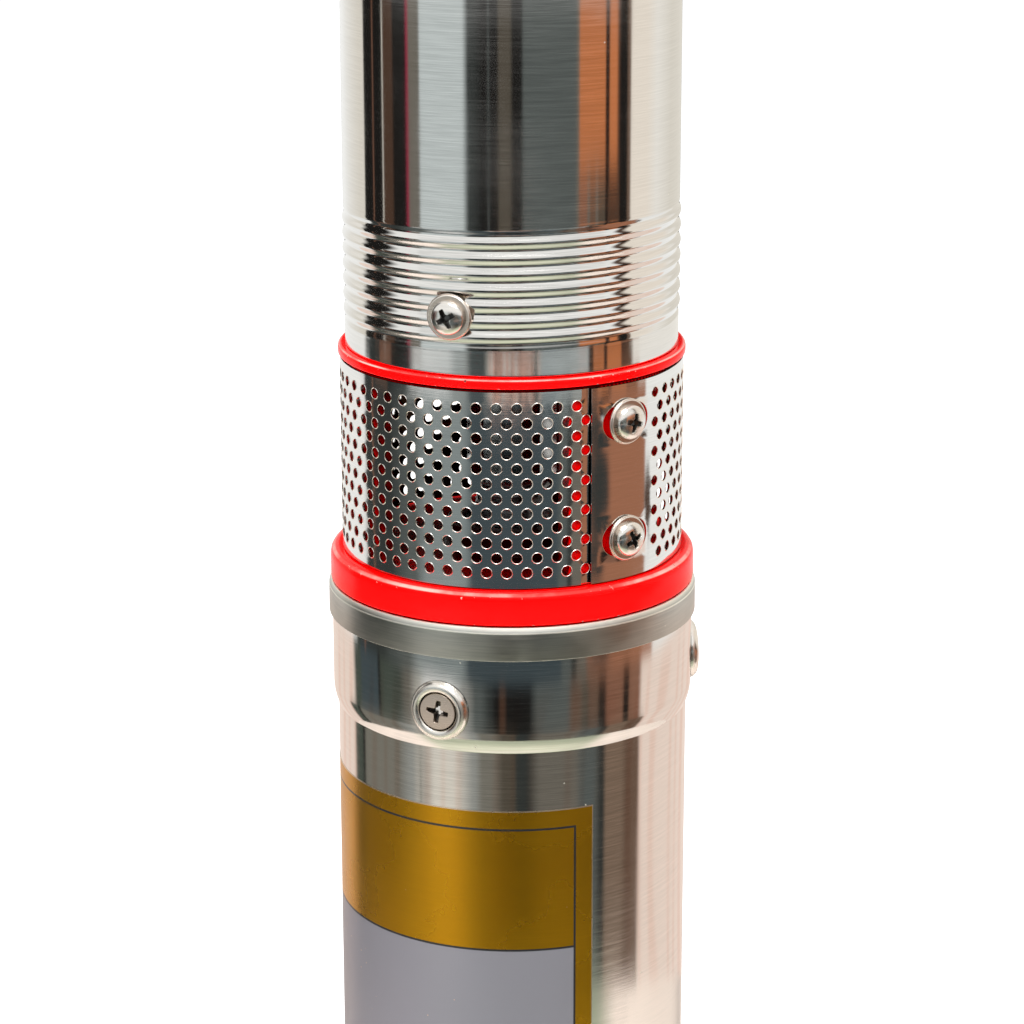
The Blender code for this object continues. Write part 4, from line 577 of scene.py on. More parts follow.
def wear_and_shade_masks(nodes: Nodes) -> tuple[bpy.types.NodeSocket, bpy.types.NodeSocket]:
    """The point attribute of wear and painted light as two masks: how far an edge stands out, and how deep
    the painted shade on a face is.
    """
    wear_and_painted_light = nodes.read("wear_and_painted_light")
    return nodes.times(wear_and_painted_light, 1.0, clamp=True), nodes.times(wear_and_painted_light, -1.0, clamp=True)


def scaled(colour: Rgb, share: float) -> Rgb:
    """A colour made darker."""
    return tuple(part * share for part in colour)


@dataclass(frozen=True)
class MetalFinish:
    """Bare metal, brushed level round the pump or polished, with smudges, pale flecks, and cut edges
    lightened by the edge colour, which is worn metal and a painted highlight at once. The shade colour is
    painted shade on faces that the mesh marks as shaded.

    brush_reach is how far from the middle, across the pump, deeper brush scores show.
    """

    name: str
    colour: Rgb
    dark: Rgb
    roughness: float = 0.2
    grain: float = 0.1
    grain_height: float = 1e-6
    smudge: float = 0.06
    smudge_scale: float = 25.0
    flecks: float = 0.0
    brushed: float = 0.0
    brush_reach: float = 0.0
    edge: Rgb | None = None
    brush_turn: float = 0.25
    score_fade: float = 0.002
    score_depth: float = 0.4
    score_tone: float = 0.6
    shade: Rgb = (0.03, 0.03, 0.03)
    edge_gloss: float = 0.2
    fleck_scale: float = 520.0
    fleck_tone: Rgb = (0.9, 0.88, 0.82)
    fleck_gloss: float = 0.5

    def build(self) -> bpy.types.Material:
        """Makes the material.

        Returns:
            The material.
        """
        material, nodes, shader = blank_material(self.name)
        grain = effect_mask(nodes, Effect.GRAIN)
        tone = nodes.mix(grain, self.dark, self.colour)
        if self.brush_reach:
            across = nodes.math("ABSOLUTE", nodes.axis(nodes.place(), "X"))
            near = nodes.ramp(across, self.brush_reach + self.score_fade, self.brush_reach)
            scored = nodes.times(nodes.times(near, nodes.math("SUBTRACT", 1.0, grain)), self.score_depth)
            tone = nodes.mix(scored, tone, scaled(self.colour, self.score_tone))
        gloss = nodes.plus(grain, self.grain, self.roughness)
        gloss = nodes.plus(effect_mask(nodes, Effect.CLOUDS, self.smudge_scale), self.smudge, gloss)
        # Painted highlight and painted shade: worn edges take the edge colour, partly as their highlight, and
        # shaded faces take the shade colour.
        if self.edge:
            cut, painted_shade = wear_and_shade_masks(nodes)
            tone = nodes.mix(painted_shade, nodes.mix(cut, tone, self.edge), self.shade)
            gloss = nodes.plus(cut, self.edge_gloss, gloss)
        if self.flecks:
            spots = effect_mask(nodes, Effect.DUST, self.fleck_scale, self.flecks)
            tone = nodes.mix(spots, tone, self.fleck_tone)
            gloss = nodes.plus(spots, self.fleck_gloss, gloss)
        nodes.fill(shader, Base_Color=tone, Roughness=gloss, Metallic=1.0)
        if self.brushed:
            tangent = nodes.add("Tangent", direction_type="RADIAL", axis="Z").outputs[0]
            nodes.fill(shader, Anisotropic=self.brushed, Tangent=tangent)
            nodes.fill(shader, Anisotropic_Rotation=self.brush_turn)
        bumped(nodes, shader, grain, self.grain_height, 1.0)
        return material


@dataclass(frozen=True)
class PaintFinish:
    """Glossy enamel on a casting, chipped through to the metal on its corners, with painted shade on its
    inside.

    A painted highlight lies on the rounded upper edges, where the normal's upward part is between the bounds
    of lit_from and lit_to.
    """

    name: str
    colour: Rgb
    shade: Rgb
    metal: Rgb
    roughness: float = 0.2
    specular: float = 0.1
    pits: float = 0.02
    pit_scale: float = 340.0
    pit_tone: Rgb = (0.1, 0.02, 0.015)
    chip_scale: float = 900.0
    cloud_scale: float = 60.0
    lit_from: tuple[float, float] = (0.52, 0.68)
    lit_to: tuple[float, float] = (0.97, 0.88)
    lit_tone: Rgb = (1.0, 0.36, 0.31)
    lit_least: float = 0.08
    lit_patchy: float = 0.75
    shade_power: float = 0.45
    shade_share: float = 0.985
    peel_scale: float = 700.0
    peel_share: float = 0.12
    chip_gloss: float = 0.35
    chip_depth: float = 5e-5
    relief: float = 0.5

    def build(self) -> bpy.types.Material:
        """Makes the material.

        Returns:
            The material.
        """
        material, nodes, shader = blank_material(self.name)
        clouds = effect_mask(nodes, Effect.CLOUDS, self.cloud_scale)
        pits = effect_mask(nodes, Effect.DUST, self.pit_scale, self.pits)
        bare = nodes.math("MAXIMUM", effect_mask(nodes, Effect.CHIPS, self.chip_scale), pits)
        edge, painted_shade = wear_and_shade_masks(nodes)
        up = nodes.axis(nodes.add("TexCoord").outputs["Normal"], "Z")
        # Painted highlight on the rounded upper edges, patchy with the clouds.
        band = nodes.times(nodes.ramp(up, *self.lit_from), nodes.ramp(up, *self.lit_to))
        patchy = nodes.math("MULTIPLY_ADD", clouds, self.lit_patchy, self.lit_least)
        paint = nodes.mix(clouds, self.shade, self.colour)
        paint = nodes.mix(nodes.times(nodes.times(band, edge), patchy), paint, self.lit_tone)
        # Painted shade on the inside of the casting, from the negative point values.
        painted_shade = nodes.times(nodes.math("POWER", painted_shade, self.shade_power), self.shade_share)
        paint = nodes.mix(painted_shade, paint, (0.0, 0.0, 0.0))
        tone = nodes.mix(bare, paint, nodes.mix(pits, self.metal, self.pit_tone))
        gloss = nodes.plus(bare, self.chip_gloss, self.roughness)
        nodes.fill(shader, Base_Color=tone, Roughness=gloss, Specular_IOR_Level=self.specular)
        peel = nodes.times(nodes.noise(self.peel_scale, 2.0), self.peel_share)
        bumped(nodes, shader, nodes.math("SUBTRACT", peel, bare), self.chip_depth, self.relief)
        return material


@dataclass(frozen=True)
class SolidFinish:
    """A finish without brushing: cast, moulded, enamelled or ceramic, mottled and faintly rough."""

    name: str
    colour: Rgb
    shade: Rgb
    roughness: float = 0.5
    metallic: float = 0.0
    grain_scale: float = 700.0
    height: float = 3e-5
    cloud_share: float = 1 / 12
    skin_gloss: float = 0.15
    relief: float = 0.5

    def build(self) -> bpy.types.Material:
        """Makes the material.

        Returns:
            The material.
        """
        material, nodes, shader = blank_material(self.name)
        clouds = effect_mask(nodes, Effect.CLOUDS, self.grain_scale * self.cloud_share)
        skin = nodes.noise(self.grain_scale, 3.0)
        rough = nodes.math("MULTIPLY_ADD", skin, self.skin_gloss, self.roughness)
        tone = nodes.mix(clouds, self.shade, self.colour)
        nodes.fill(shader, Base_Color=tone, Roughness=rough, Metallic=self.metallic)
        bumped(nodes, shader, skin, self.height, self.relief)
        return material


@dataclass(frozen=True)
class FoilFinish:
    """A foil label without words: a gold field over a grey one, and a thin dark outline.

    The UV map gives millimetres from the label's lower left corner.
    """

    width: float
    height: float
    name: str = "label_foil"
    gold: Rgb = (0.6, 0.3, 0.012)
    grey: Rgb = (0.235, 0.23, 0.26)
    line: Rgb = (0.01, 0.01, 0.01)
    cut: Rgb = (0.85, 0.78, 0.7)
    speck: Rgb = (0.95, 0.6, 0.3)
    gold_height: float = 39.3
    inset: float = 5.2
    line_width: float = 0.6
    cut_width: float = 0.28
    grain_share: float = 0.3
    grain_tone: float = 0.8
    speck_share: float = 0.4
    cut_share: float = 0.6
    gold_gloss: tuple[float, float] = (0.95, 0.25)
    grey_gloss: tuple[float, float] = (-0.35, 0.1)
    smudge: float = 0.05
    smudge_scale: float = 45.0
    speck_scale: float = 700.0
    specks: float = 0.03
    grain_height: float = 8e-7

    def build(self) -> bpy.types.Material:
        """Makes the material. The nearest edge is at half a side less the distance from the middle.

        Returns:
            The material.
        """
        material, nodes, shader = blank_material(self.name)
        where = nodes.add("UVMap", uv_map="UVMap").outputs[0]
        up = nodes.axis(where, "Y")
        inward = [
            nodes.math("SUBTRACT", size / 2, nodes.far(nodes.axis(where, axis), size / 2))
            for axis, size in (("X", self.width), ("Y", self.height))
        ]
        nearest = nodes.math("MINIMUM", *inward)
        inside = nodes.math("GREATER_THAN", nearest, self.inset)
        border = self.height - self.gold_height
        outline = nodes.math("LESS_THAN", nodes.far(nearest, self.inset), self.line_width / 2)
        seam = nodes.math("LESS_THAN", nodes.far(up, border), self.line_width / 2)
        outline = nodes.math("MAXIMUM", outline, nodes.times(seam, inside))
        plain = nodes.times(nodes.math("LESS_THAN", up, border), inside)
        grain = effect_mask(nodes, Effect.GRAIN)
        speckle = effect_mask(nodes, Effect.DUST, self.speck_scale, self.specks)
        speckle = nodes.times(speckle, self.speck_share)
        gold = nodes.mix(nodes.times(grain, self.grain_share), self.gold, scaled(self.gold, self.grain_tone))
        field = nodes.mix(speckle, nodes.mix(plain, gold, self.grey), self.speck)
        cut_edge = nodes.times(nodes.math("LESS_THAN", nearest, self.cut_width), self.cut_share)
        tone = nodes.mix(outline, nodes.mix(cut_edge, field, self.cut), self.line)
        metal, rough = (
            nodes.math("MULTIPLY_ADD", plain, change, value)
            for value, change in zip(self.gold_gloss, self.grey_gloss)
        )
        metal = nodes.times(metal, nodes.math("SUBTRACT", 1.0, outline))
        clouds = effect_mask(nodes, Effect.CLOUDS, self.smudge_scale)
        rough = nodes.math("MULTIPLY_ADD", clouds, self.smudge, rough)
        nodes.fill(shader, Base_Color=tone, Metallic=metal, Roughness=rough)
        bumped(nodes, shader, grain, self.grain_height, 1.0)
        return material


class Finish(Enum):
    """Every finish of the pump, by its own name."""

    # An edge colour is worn cut edge and painted highlight together; a MetalFinish's shade colour is painted
    # shade.
    TUBE = MetalFinish(
        "polished_tube",
        (0.83, 0.82, 0.8),
        (0.76, 0.75, 0.73),
        roughness=0.07,
        grain=0.03,
        flecks=0.004,
        brushed=0.6,
        brush_reach=0.0225,
    )
    SHELL = MetalFinish(
        "brushed_shell",
        (0.83, 0.81, 0.78),
        (0.76, 0.75, 0.72),
        roughness=0.06,
        grain=0.035,
        flecks=0.01,
        brushed=0.35,
        brush_reach=0.03,
    )
    BAND = MetalFinish(
        "satin_band",
        (0.56, 0.56, 0.52),
        (0.44, 0.45, 0.42),
        roughness=0.3,
        grain=0.05,
        grain_height=8e-7,
        smudge=0.12,
        smudge_scale=60.0,
        flecks=0.02,
        edge=(0.95, 0.94, 0.86),
    )
    SHEET = MetalFinish(
        "strainer_sheet",
        (0.84, 0.83, 0.81),
        (0.77, 0.76, 0.74),
        roughness=0.065,
        grain=0.02,
        smudge=0.03,
        edge=(0.95, 0.86, 0.78),
    )
    PAINT = PaintFinish("red_enamel", (0.88, 0.001, 0.001), (0.81, 0.001, 0.001), (0.26, 0.2, 0.17))
    NICKEL = MetalFinish(
        "nickel",
        (0.88, 0.85, 0.81),
        (0.8, 0.77, 0.73),
        roughness=0.17,
        grain=0.02,
        grain_height=2e-7,
        smudge=0.03,
        smudge_scale=120.0,
        edge=(0.9, 0.86, 0.8),
    )
    SATIN = MetalFinish(
        "satin_nickel",
        (0.68, 0.58, 0.5),
        (0.6, 0.51, 0.44),
        roughness=0.24,
        grain=0.04,
        grain_height=3e-7,
        smudge=0.05,
        smudge_scale=120.0,
        edge=(0.95, 0.9, 0.84),
    )
    CAST = SolidFinish("cast_iron", (0.2, 0.2, 0.21), (0.12, 0.12, 0.125), 0.55, 0.5, 500.0, 8e-5)
    CHROME = MetalFinish("chrome", (0.86, 0.86, 0.88), (0.8, 0.8, 0.82), 0.05, 0.03, 3e-7, 0.03)
    STEEL = MetalFinish("machined_steel", (0.6, 0.6, 0.61), (0.42, 0.42, 0.43), 0.26, 0.12, 4e-6, 0.08)
    COPPER = SolidFinish("enamelled_copper", (0.6, 0.22, 0.07), (0.4, 0.13, 0.04), 0.35, 0.6, 900.0, 5e-5)
    BRASS = MetalFinish("brass", (0.83, 0.62, 0.28), (0.66, 0.47, 0.2), 0.22, 0.1, 2e-6, 0.1)
    RUBBER = SolidFinish("black_rubber", (0.03, 0.03, 0.032), (0.018, 0.018, 0.02), 0.6, 0.0, 1200.0, 2e-5)
    CERAMIC = SolidFinish("ceramic", (0.8, 0.78, 0.74), (0.7, 0.68, 0.64), 0.3, 0.0, 800.0, 1e-5)


SLOT_FINISH = {
    "stainless_tube": Finish.TUBE,
    "perforated_sheet": Finish.SHEET,
    "red_paint": Finish.PAINT,
    "cast_iron": Finish.CAST,
    "nickel_fastener": Finish.NICKEL,
    "chrome_rotor": Finish.CHROME,
    "machined_steel": Finish.STEEL,
    "copper_winding": Finish.COPPER,
    "brass_fitting": Finish.BRASS,
    "black_rubber": Finish.RUBBER,
    "ceramic_seal": Finish.CERAMIC,
}


class Palette:
    """The built materials, one for each finish."""

    def __init__(self) -> None:
        """Builds every finish once."""
        self.materials = {finish: finish.value.build() for finish in Finish}

    def __getitem__(self, finish: Finish) -> bpy.types.Material:
        """The material of a finish."""
        return self.materials[finish]


# Screws


@dataclass(frozen=True)
class CrossHead:
    """A screw with a cross recess, about local Z with its seat at 0: a pan head or a countersunk one."""

    radius: float
    height: float
    crown: float
    shank: float
    length: float
    recess: float
    sunk: bool
    arm: float = 0.72
    depth: float = 1.9
    lip: float = 0.3
    land: float = 0.2
    face_share: float = 0.97
    recess_share: float = 1.05
    close_share: float = 1.1
    close_rings: int = 26
    wide_rings: int = 8
    arm_taper: float = 0.3
    arm_sides: tuple[float, float] = (0.8, 1.15)
    arm_end: float = 0.86
    arm_rise: float = 0.45
    hub_side: float = 1.8
    shade_gain: float = 1.9
    shade_from: float = 0.3
    shade_most: float = 0.93
    segments: int = 128

    def outline(self) -> Grid:
        """The (radius, height) line from the shank's foot to the middle of the crown.

        With q the square of r / radius, the crown is height - crown q when sunk, and otherwise
        height - crown (1 - sqrt(1 - q)). Its rings are close over the recess.

        Returns:
            The line's points.
        """
        close = np.linspace(0, self.recess * self.close_share, self.close_rings)
        wide = np.linspace(close[-1], self.radius * self.face_share, self.wide_rings)
        reach = np.concatenate([close, wide[1:]])
        share = (reach / self.radius) ** 2
        dome = self.height - self.crown * (share if self.sunk else 1 - np.sqrt(np.maximum(0, 1 - share)))
        if self.sunk:
            edge = self.height - self.lip - self.land
            rim = [(self.radius, self.height - self.lip), (self.radius, edge)]
            rim += [(self.shank, edge - (self.radius - self.shank))]
        else:
            rim = [(self.radius, dome[-1] - self.lip), (self.radius, 0.0), (self.shank, 0.0)]
        rim += [(self.shank, -self.length), (0.0, -self.length)]
        return np.vstack([np.stack([reach, dome], axis=1), rim])[::-1]

    def recess_cut(self, x: Grid, y: Grid) -> Grid:
        """How deep the cross is at a point: tapering arms with soft sides and ends, and a round hub.

        Args:
            x: Distance along one arm.
            y: Distance along the other.

        Returns:
            The depth in millimetres.
        """
        near, far = np.minimum(abs(x), abs(y)), np.maximum(abs(x), abs(y))
        slim = self.arm * (1 - self.arm_taper * far / self.recess)
        within = 1 - smooth_step(near, *(slim * side for side in self.arm_sides))
        ends = 1 - smooth_step(far, self.recess * self.arm_end, self.recess)
        hub = 1 - smooth_step(np.hypot(x, y), self.arm, self.arm * self.hub_side)
        arms = within * ends * self.depth * (1 - self.arm_rise * far / self.recess)
        return np.maximum(arms, hub * self.depth)

    def surface(self) -> Surface:
        """The head and shank: the turned outline, sunk by the recess, with painted shade that deepens with
        its depth.

        Returns:
            A closed skin.
        """
        skin = turned_open(self.outline(), self.segments)
        x, y, z = skin.points.T
        cut = self.recess_cut(x, y)
        raised = z > self.height - self.crown - self.lip
        crossed = raised & (np.hypot(x, y) < self.recess * self.recess_share)
        points = np.column_stack([x, y, z - np.where(crossed, cut, 0.0)])
        # Painted shade in the cross recess: the deeper the point, the darker.
        shade = np.clip(cut / self.depth * self.shade_gain - self.shade_from, 0, self.shade_most)
        return Surface(points, skin.faces, np.where(crossed, -shade, 0.0))


PAN_HEAD = CrossHead(radius=4.45, height=2.6, crown=1.7, shank=1.9, length=8.0, recess=2.6, sunk=False)
SUNK_HEAD = CrossHead(radius=4.95, height=1.45, crown=0.12, shank=2.4, length=7.5, recess=3.1, sunk=True)
CUP_PROFILE = [
    (4.3, 0.0),
    (8.1, 0.0),
    (8.0, 0.6, 0.4),
    (7.2, 1.6, 1.1),
    (6.2, 1.85, 0.9),
    (5.35, 1.35, 0.3),
    (5.15, 0.6),
]
FLAT_PROFILE = [(2.4, 0.0), (6.0, 0.0, 0.1), (6.0, 0.5, 0.12), (5.6, 0.95, 0.2), (2.4, 0.8)]
LAP_SCREWS = {"lower": 324.9, "upper": 356.0}


@dataclass
class Fasteners:
    """The screws and washers: where each sits, and how its cross is turned."""

    palette: Palette
    cup_lift: float = 0.15
    cup_fit: float = 1.8
    flat_lift: float = 0.3
    flat_height: float = 0.9
    shell_bearing: float = -22.9
    shell_height: float = 280.8
    socket: float = 48.7
    base_height: float = 24.0
    base_turn: float = 47.0
    tube: float = 47.4
    shell_turns: tuple[float, float, float] = (-8.0, 31.0, 12.0)
    lap_bearing: float = 39.4
    lap_radius: float = 46.2
    lap_turns: tuple[float, float] = (24.0, -14.0)
    lock_bearing: float = -20.4
    barrel_lock: tuple[float, float, float] = (44.55, 384.8, 28.0)
    head_lock: tuple[float, float, float] = (44.2, 609.0, 63.0)
    segments: int = 64

    def piece(self, node: str, ending: str, surface: Surface, finish: Finish) -> None:
        """Makes a fastener that stands for its CAD node."""
        make_piece(f"{node}_{ending}", surface, self.palette[finish], (node,))

    def cup_screw(
        self, names: tuple[str, str], bearing: float, radius: float, height: float, turn: float
    ) -> None:
        """A flush screw in its domed cup washer, whose foot follows the round face under it.

        The foot goes down by radius - sqrt(radius^2 - x^2), and less so higher up.

        Args:
            names: The CAD nodes of the washer and the screw.
            bearing: Degrees round the pump.
            radius: Radius of the face.
            height: Height of the screw's axis.
            turn: Turn of its cross in degrees.
        """
        cup = turned(filleted(CUP_PROFILE), self.segments)
        x, y, z = cup.points.T
        sag = (radius - np.sqrt(radius**2 - x**2)) * np.clip(1 - z / self.cup_fit, 0, 1)
        place = radial_place(bearing, radius + self.cup_lift, height)
        cup = replace(cup, points=np.column_stack([x, y, z - sag])).placed(place)
        self.piece(names[0], "dome", cup, Finish.NICKEL)
        place = radial_place(bearing, radius + self.cup_lift, height, turn)
        self.piece(names[1], "cross", SUNK_HEAD.surface().placed(place), Finish.SATIN)

    def pan_screw(
        self, names: tuple[str, str], bearing: float, radius: float, height: float, turn: float
    ) -> None:
        """A pan-headed screw on its flat washer.

        Args:
            names: The CAD nodes of the washer and the screw.
            bearing: Degrees round the pump.
            radius: Radius of the face under the washer.
            height: Height of the screw's axis.
            turn: Turn of its cross in degrees.
        """
        seat = radius + self.flat_lift
        flat = turned(filleted(FLAT_PROFILE), self.segments).placed(radial_place(bearing, seat, height))
        self.piece(names[0], "ring", flat, Finish.SATIN)
        place = radial_place(bearing, seat + self.flat_height, height, turn)
        self.piece(names[1], "cross", PAN_HEAD.surface().placed(place), Finish.NICKEL)

    def build(self) -> None:
        """Places all of them."""
        for index, turn in enumerate(self.shell_turns, 1):
            bearing = self.shell_bearing + 120 * (index - 1)
            names = (f"cup_washer_{index}", f"motor_screw_{index}")
            self.cup_screw(names, bearing, self.socket, self.shell_height, turn)
            names = (f"base_cup_washer_{index}", f"base_screw_{index}")
            self.cup_screw(names, bearing, self.tube, self.base_height, turn + self.base_turn)
        for (label, height), turn in zip(LAP_SCREWS.items(), self.lap_turns):
            names = (f"strainer_washer_{label}", f"strainer_screw_{label}")
            self.pan_screw(names, self.lap_bearing, self.lap_radius, height, turn)
        for end, (radius, height, turn) in (("barrel", self.barrel_lock), ("head", self.head_lock)):
            names = (f"{end}_lock_washer", f"{end}_lock_screw")
            self.pan_screw(names, self.lock_bearing, radius, height, turn)


# Motor


@dataclass
class MotorSection:
    """The motor's tube with its expanded socket and rolled rim, its end cover and its foil label."""

    palette: Palette
    tube: float = 47.4
    socket: float = 48.7
    rim: float = 49.6
    rim_inner: float = 48.4
    rim_bevel: float = 0.7
    wall: float = 1.2
    bottom: float = 7.3
    cone: float = 269.7
    step: float = 273.1
    top: float = 304.45
    rim_height: float = 8.9
    shoulder: float = 5.9
    shoulder_power: float = 2.2
    highlight_height: float = 0.2
    cover_reach: float = 45.8
    cover_bore: float = 37.8
    cover_floor: float = 6.0
    cover_seat: float = 7.0
    cover_top: float = 37.0
    foot: float = 38.4
    chamfer: float = 2.0
    label_start: float = -96.0
    label_end: float = 26.5
    label_bottom: float = 120.0
    label_top: float = 253.5
    label_face: float = 0.09
    label_back: float = 0.02
    label_columns: int = 60
    label_rows: int = 12
    segments: int = 224

    def shell(self) -> Surface:
        """The tube and its socket, as one turned wall.

        The shoulder's radius is tube + step (1 - (1 - t)^2.2), with t from 0 to 1 going up.

        Returns:
            A closed skin.
        """
        rise = np.linspace(0, 1, 12)[1:]
        reach = self.tube + (self.socket - self.tube) * (1 - (1 - rise) ** self.shoulder_power)
        corners = [
            (self.tube, self.bottom, 0.3),
            (self.tube, self.cone, 0.2),
            *zip(reach, self.cone + self.shoulder * rise),
            (self.socket, self.top, 0.3),
            (self.socket - self.wall, self.top, 0.3),
            (self.socket - self.wall, self.step, 1.0),
            (self.tube - self.wall, self.cone, 1.0),
            (self.tube - self.wall, self.bottom, 0.2),
        ]
        return turned(filleted(corners), self.segments)

    def rolled_rim(self) -> Surface:
        """The band rolled round the socket's mouth: its lower edge crisp, its upper one bevelled, with a
        painted highlight on top.

        Returns:
            A closed ring.
        """
        low = self.top - self.rim_height
        corners = [
            (self.rim_inner, low),
            (self.rim, low, 0.16),
            (self.rim, self.top - 2 * self.rim_bevel, 0.3),
            (self.rim - self.rim_bevel, self.top, 0.15),
            (self.rim_inner, self.top),
        ]
        ring = turned(filleted(corners), self.segments)
        # Painted highlight: the bevel's top is marked fully worn, which the band's finish lightens to its
        # edge colour.
        bright = ring.points[:, 2] > self.top - self.highlight_height
        return replace(ring, edge=np.where(bright, 1.0, ring.worn_and_shaded()))

    def cover(self) -> Surface:
        """The end cover: a chamfered foot and the spigot inside the tube, as a turned line from pole to pole.

        Returns:
            A closed skin.
        """
        corners = [
            (0.0, 0.0),
            (self.foot, 0.0),
            (self.tube - self.chamfer, 0.0, 0.6),
            (self.tube, self.chamfer, 0.8),
            (self.tube, self.cover_seat, 0.4),
            (self.cover_reach, self.cover_seat),
            (self.cover_reach, self.cover_top, 0.5),
            (self.cover_bore, self.cover_top, 0.5),
            (self.cover_bore, self.cover_floor, 1.0),
            (0.0, self.cover_floor),
        ]
        return turned(filleted(corners, closed=False), self.segments, closed=False)

    def label_size(self) -> tuple[float, float]:
        """Width along the arc, and height, in millimetres."""
        width = math.radians(self.label_end - self.label_start) * self.tube
        return width, self.label_top - self.label_bottom

    def label(self) -> Surface:
        """The foil: two patches of the tube's face, just over it, joined along their border.

        Returns:
            A closed skin, with UV in millimetres from its lower left corner.
        """
        columns, rows = self.label_columns, self.label_rows
        bearing = np.radians(np.linspace(self.label_start, self.label_end, columns))
        height = np.linspace(self.label_bottom, self.label_top, rows)
        angle, z = np.meshgrid(bearing, height, indexing="ij")
        across = (angle - bearing[0]) / (bearing[-1] - bearing[0]) * self.label_size()[0]
        uv = np.stack([across, z - self.label_bottom], axis=-1).reshape(-1, 2)
        faces = (grid_faces(columns, rows, False),)
        face, back = (
            Surface(around(self.tube + lift, angle, z).reshape(-1, 3), faces, None, uv)
            for lift in (self.label_face, self.label_back)
        )
        number = np.arange(columns * rows).reshape(columns, rows)
        border = np.concatenate([number[:, 0], number[-1, 1:], number[-2::-1, -1], number[0, -2:0:-1]])
        after, under = np.roll(border, -1), columns * rows
        rim = np.stack([after, after + under, border + under, border], axis=1)
        both = joined(face, back.reversed())
        return replace(both, faces=(*both.faces, rim))

    def build(self) -> None:
        """Makes the pieces and fits them."""
        shell, slot = self.palette[Finish.SHELL], "stainless_tube"
        make_piece("motor_tube", self.shell(), shell, ("motor_shell",))
        make_piece("rolled_rim", self.rolled_rim(), self.palette[Finish.BAND], sharp=18.0)
        make_piece("end_cover", self.cover(), shell, ("base_cover",))
        make_piece("label_foil", self.label(), FoilFinish(*self.label_size()).build())


# Suction section


@dataclass
class SuctionBracket:
    """The red casting: flange, deck with the seal's hub, three pillars, top ring and two spigots."""

    palette: Palette
    flange: float = 49.0
    flange_bottom: float = 304.75
    deck: float = 313.5
    pillar: float = 44.25
    bore: float = 36.25
    ring: float = 46.2
    ring_bottom: float = 366.7
    ring_top: float = 369.2
    ring_seat: float = 3.0
    spigot_top: float = 404.1
    neck: float = 42.25
    spigot: float = 47.1
    spigot_bore: float = 40.6
    spigot_bottom: float = 273.6
    underside: float = 301.0
    shaft_bore: float = 8.2
    bearing_bore: float = 17.8
    bearing_seat: float = 22.8
    bearing_bottom: float = 289.7
    hub: float = 17.5
    hub_height: float = 7.0
    seal_bore: float = 12.8
    seal_floor: float = 0.2
    pillar_angle: float = 40.0
    pillar_bearing: float = 39.4
    pillar_steps: int = 24
    pillar_seat: float = 1.0
    flange_seat: float = 0.15
    shade_outer: float = 2.0
    shade_inner: float = 6.0
    shade_below: float = 2.0
    shade_skin: float = 0.05
    gap_height: float = 0.5
    gap_reach: float = 0.2
    segments: int = 224

    def flange_body(self) -> Surface:
        """The flange, deck and hub above, and the spigot inside the socket below, turned.

        Returns:
            A closed skin.
        """
        corners = [
            (self.shaft_bore, self.underside),
            (self.bearing_bore, self.underside),
            (self.bearing_bore, self.bearing_bottom),
            (self.bearing_seat, self.bearing_bottom, 0.5),
            (self.bearing_seat, self.underside, 1.0),
            (self.spigot_bore, self.underside, 1.0),
            (self.spigot_bore, self.spigot_bottom, 0.5),
            (self.spigot, self.spigot_bottom, 0.5),
            (self.spigot, self.flange_bottom + self.flange_seat),
            (self.flange, self.flange_bottom, 0.9),
            (self.flange, self.deck, 2.4),
            (self.pillar, self.deck),
            (self.hub, self.deck, 1.5),
            (self.hub, self.deck + self.hub_height, 0.8),
            (self.seal_bore, self.deck + self.hub_height, 0.3),
            (self.seal_bore, self.deck + self.seal_floor),
            (self.shaft_bore, self.deck + self.seal_floor),
        ]
        return turned(filleted(corners), self.segments)

    def collar(self) -> Surface:
        """The top ring and the spigot that goes up into the barrel, turned.

        Returns:
            A closed skin.
        """
        low = self.ring_bottom - self.ring_seat
        corners = [
            (self.bore, low, 0.4),
            (self.pillar, low, 0.4),
            (self.pillar, self.ring_bottom, 0.2),
            (self.ring, self.ring_bottom, 0.5),
            (self.ring, self.ring_top, 1.1),
            (self.neck, self.ring_top, 0.3),
            (self.neck, self.spigot_top, 0.8),
            (self.bore, self.spigot_top, 0.8),
        ]
        return turned(filleted(corners), self.segments)

    def pillars(self) -> Surface:
        """Three blocks of a ring, let into the deck and standing into the top ring's seat.

        Returns:
            The blocks.
        """
        low, high = self.deck - self.pillar_seat, self.ring_bottom - self.pillar_seat
        profile = filleted([(self.bore, low), (self.pillar, low), (self.pillar, high), (self.bore, high)])
        middles = [self.pillar_bearing + 120 * index for index in range(3)]
        half = self.pillar_angle / 2
        return joined(*(swept(profile, at - half, at + half, self.pillar_steps) for at in middles))

    def build(self) -> None:
        """Makes the casting as one piece, with painted shade inside it and in the gap under the top ring."""
        casting = joined(self.flange_body(), self.collar(), self.pillars())
        radius, height = np.hypot(casting.points[:, 0], casting.points[:, 1]), casting.points[:, 2]
        # Painted shade: inside the pillars it darkens towards the bore, and in the gap under the top ring it
        # is full.
        level = (height > self.deck - self.shade_below) & (height < self.ring_bottom)
        within = level & (radius < self.pillar - self.shade_skin)
        shade = smooth_step(radius, self.pillar + self.shade_outer, self.bore - self.shade_inner)
        gap = (abs(height - self.ring_bottom) < self.gap_height) & (radius < self.pillar + self.gap_reach)
        worn = np.where(gap, -1.0, np.where(within, -shade, casting.worn_and_shaded()))
        paint = self.palette[Finish.PAINT]
        make_piece("suction_casting", replace(casting, edge=worn), paint, ("suction_bracket",))


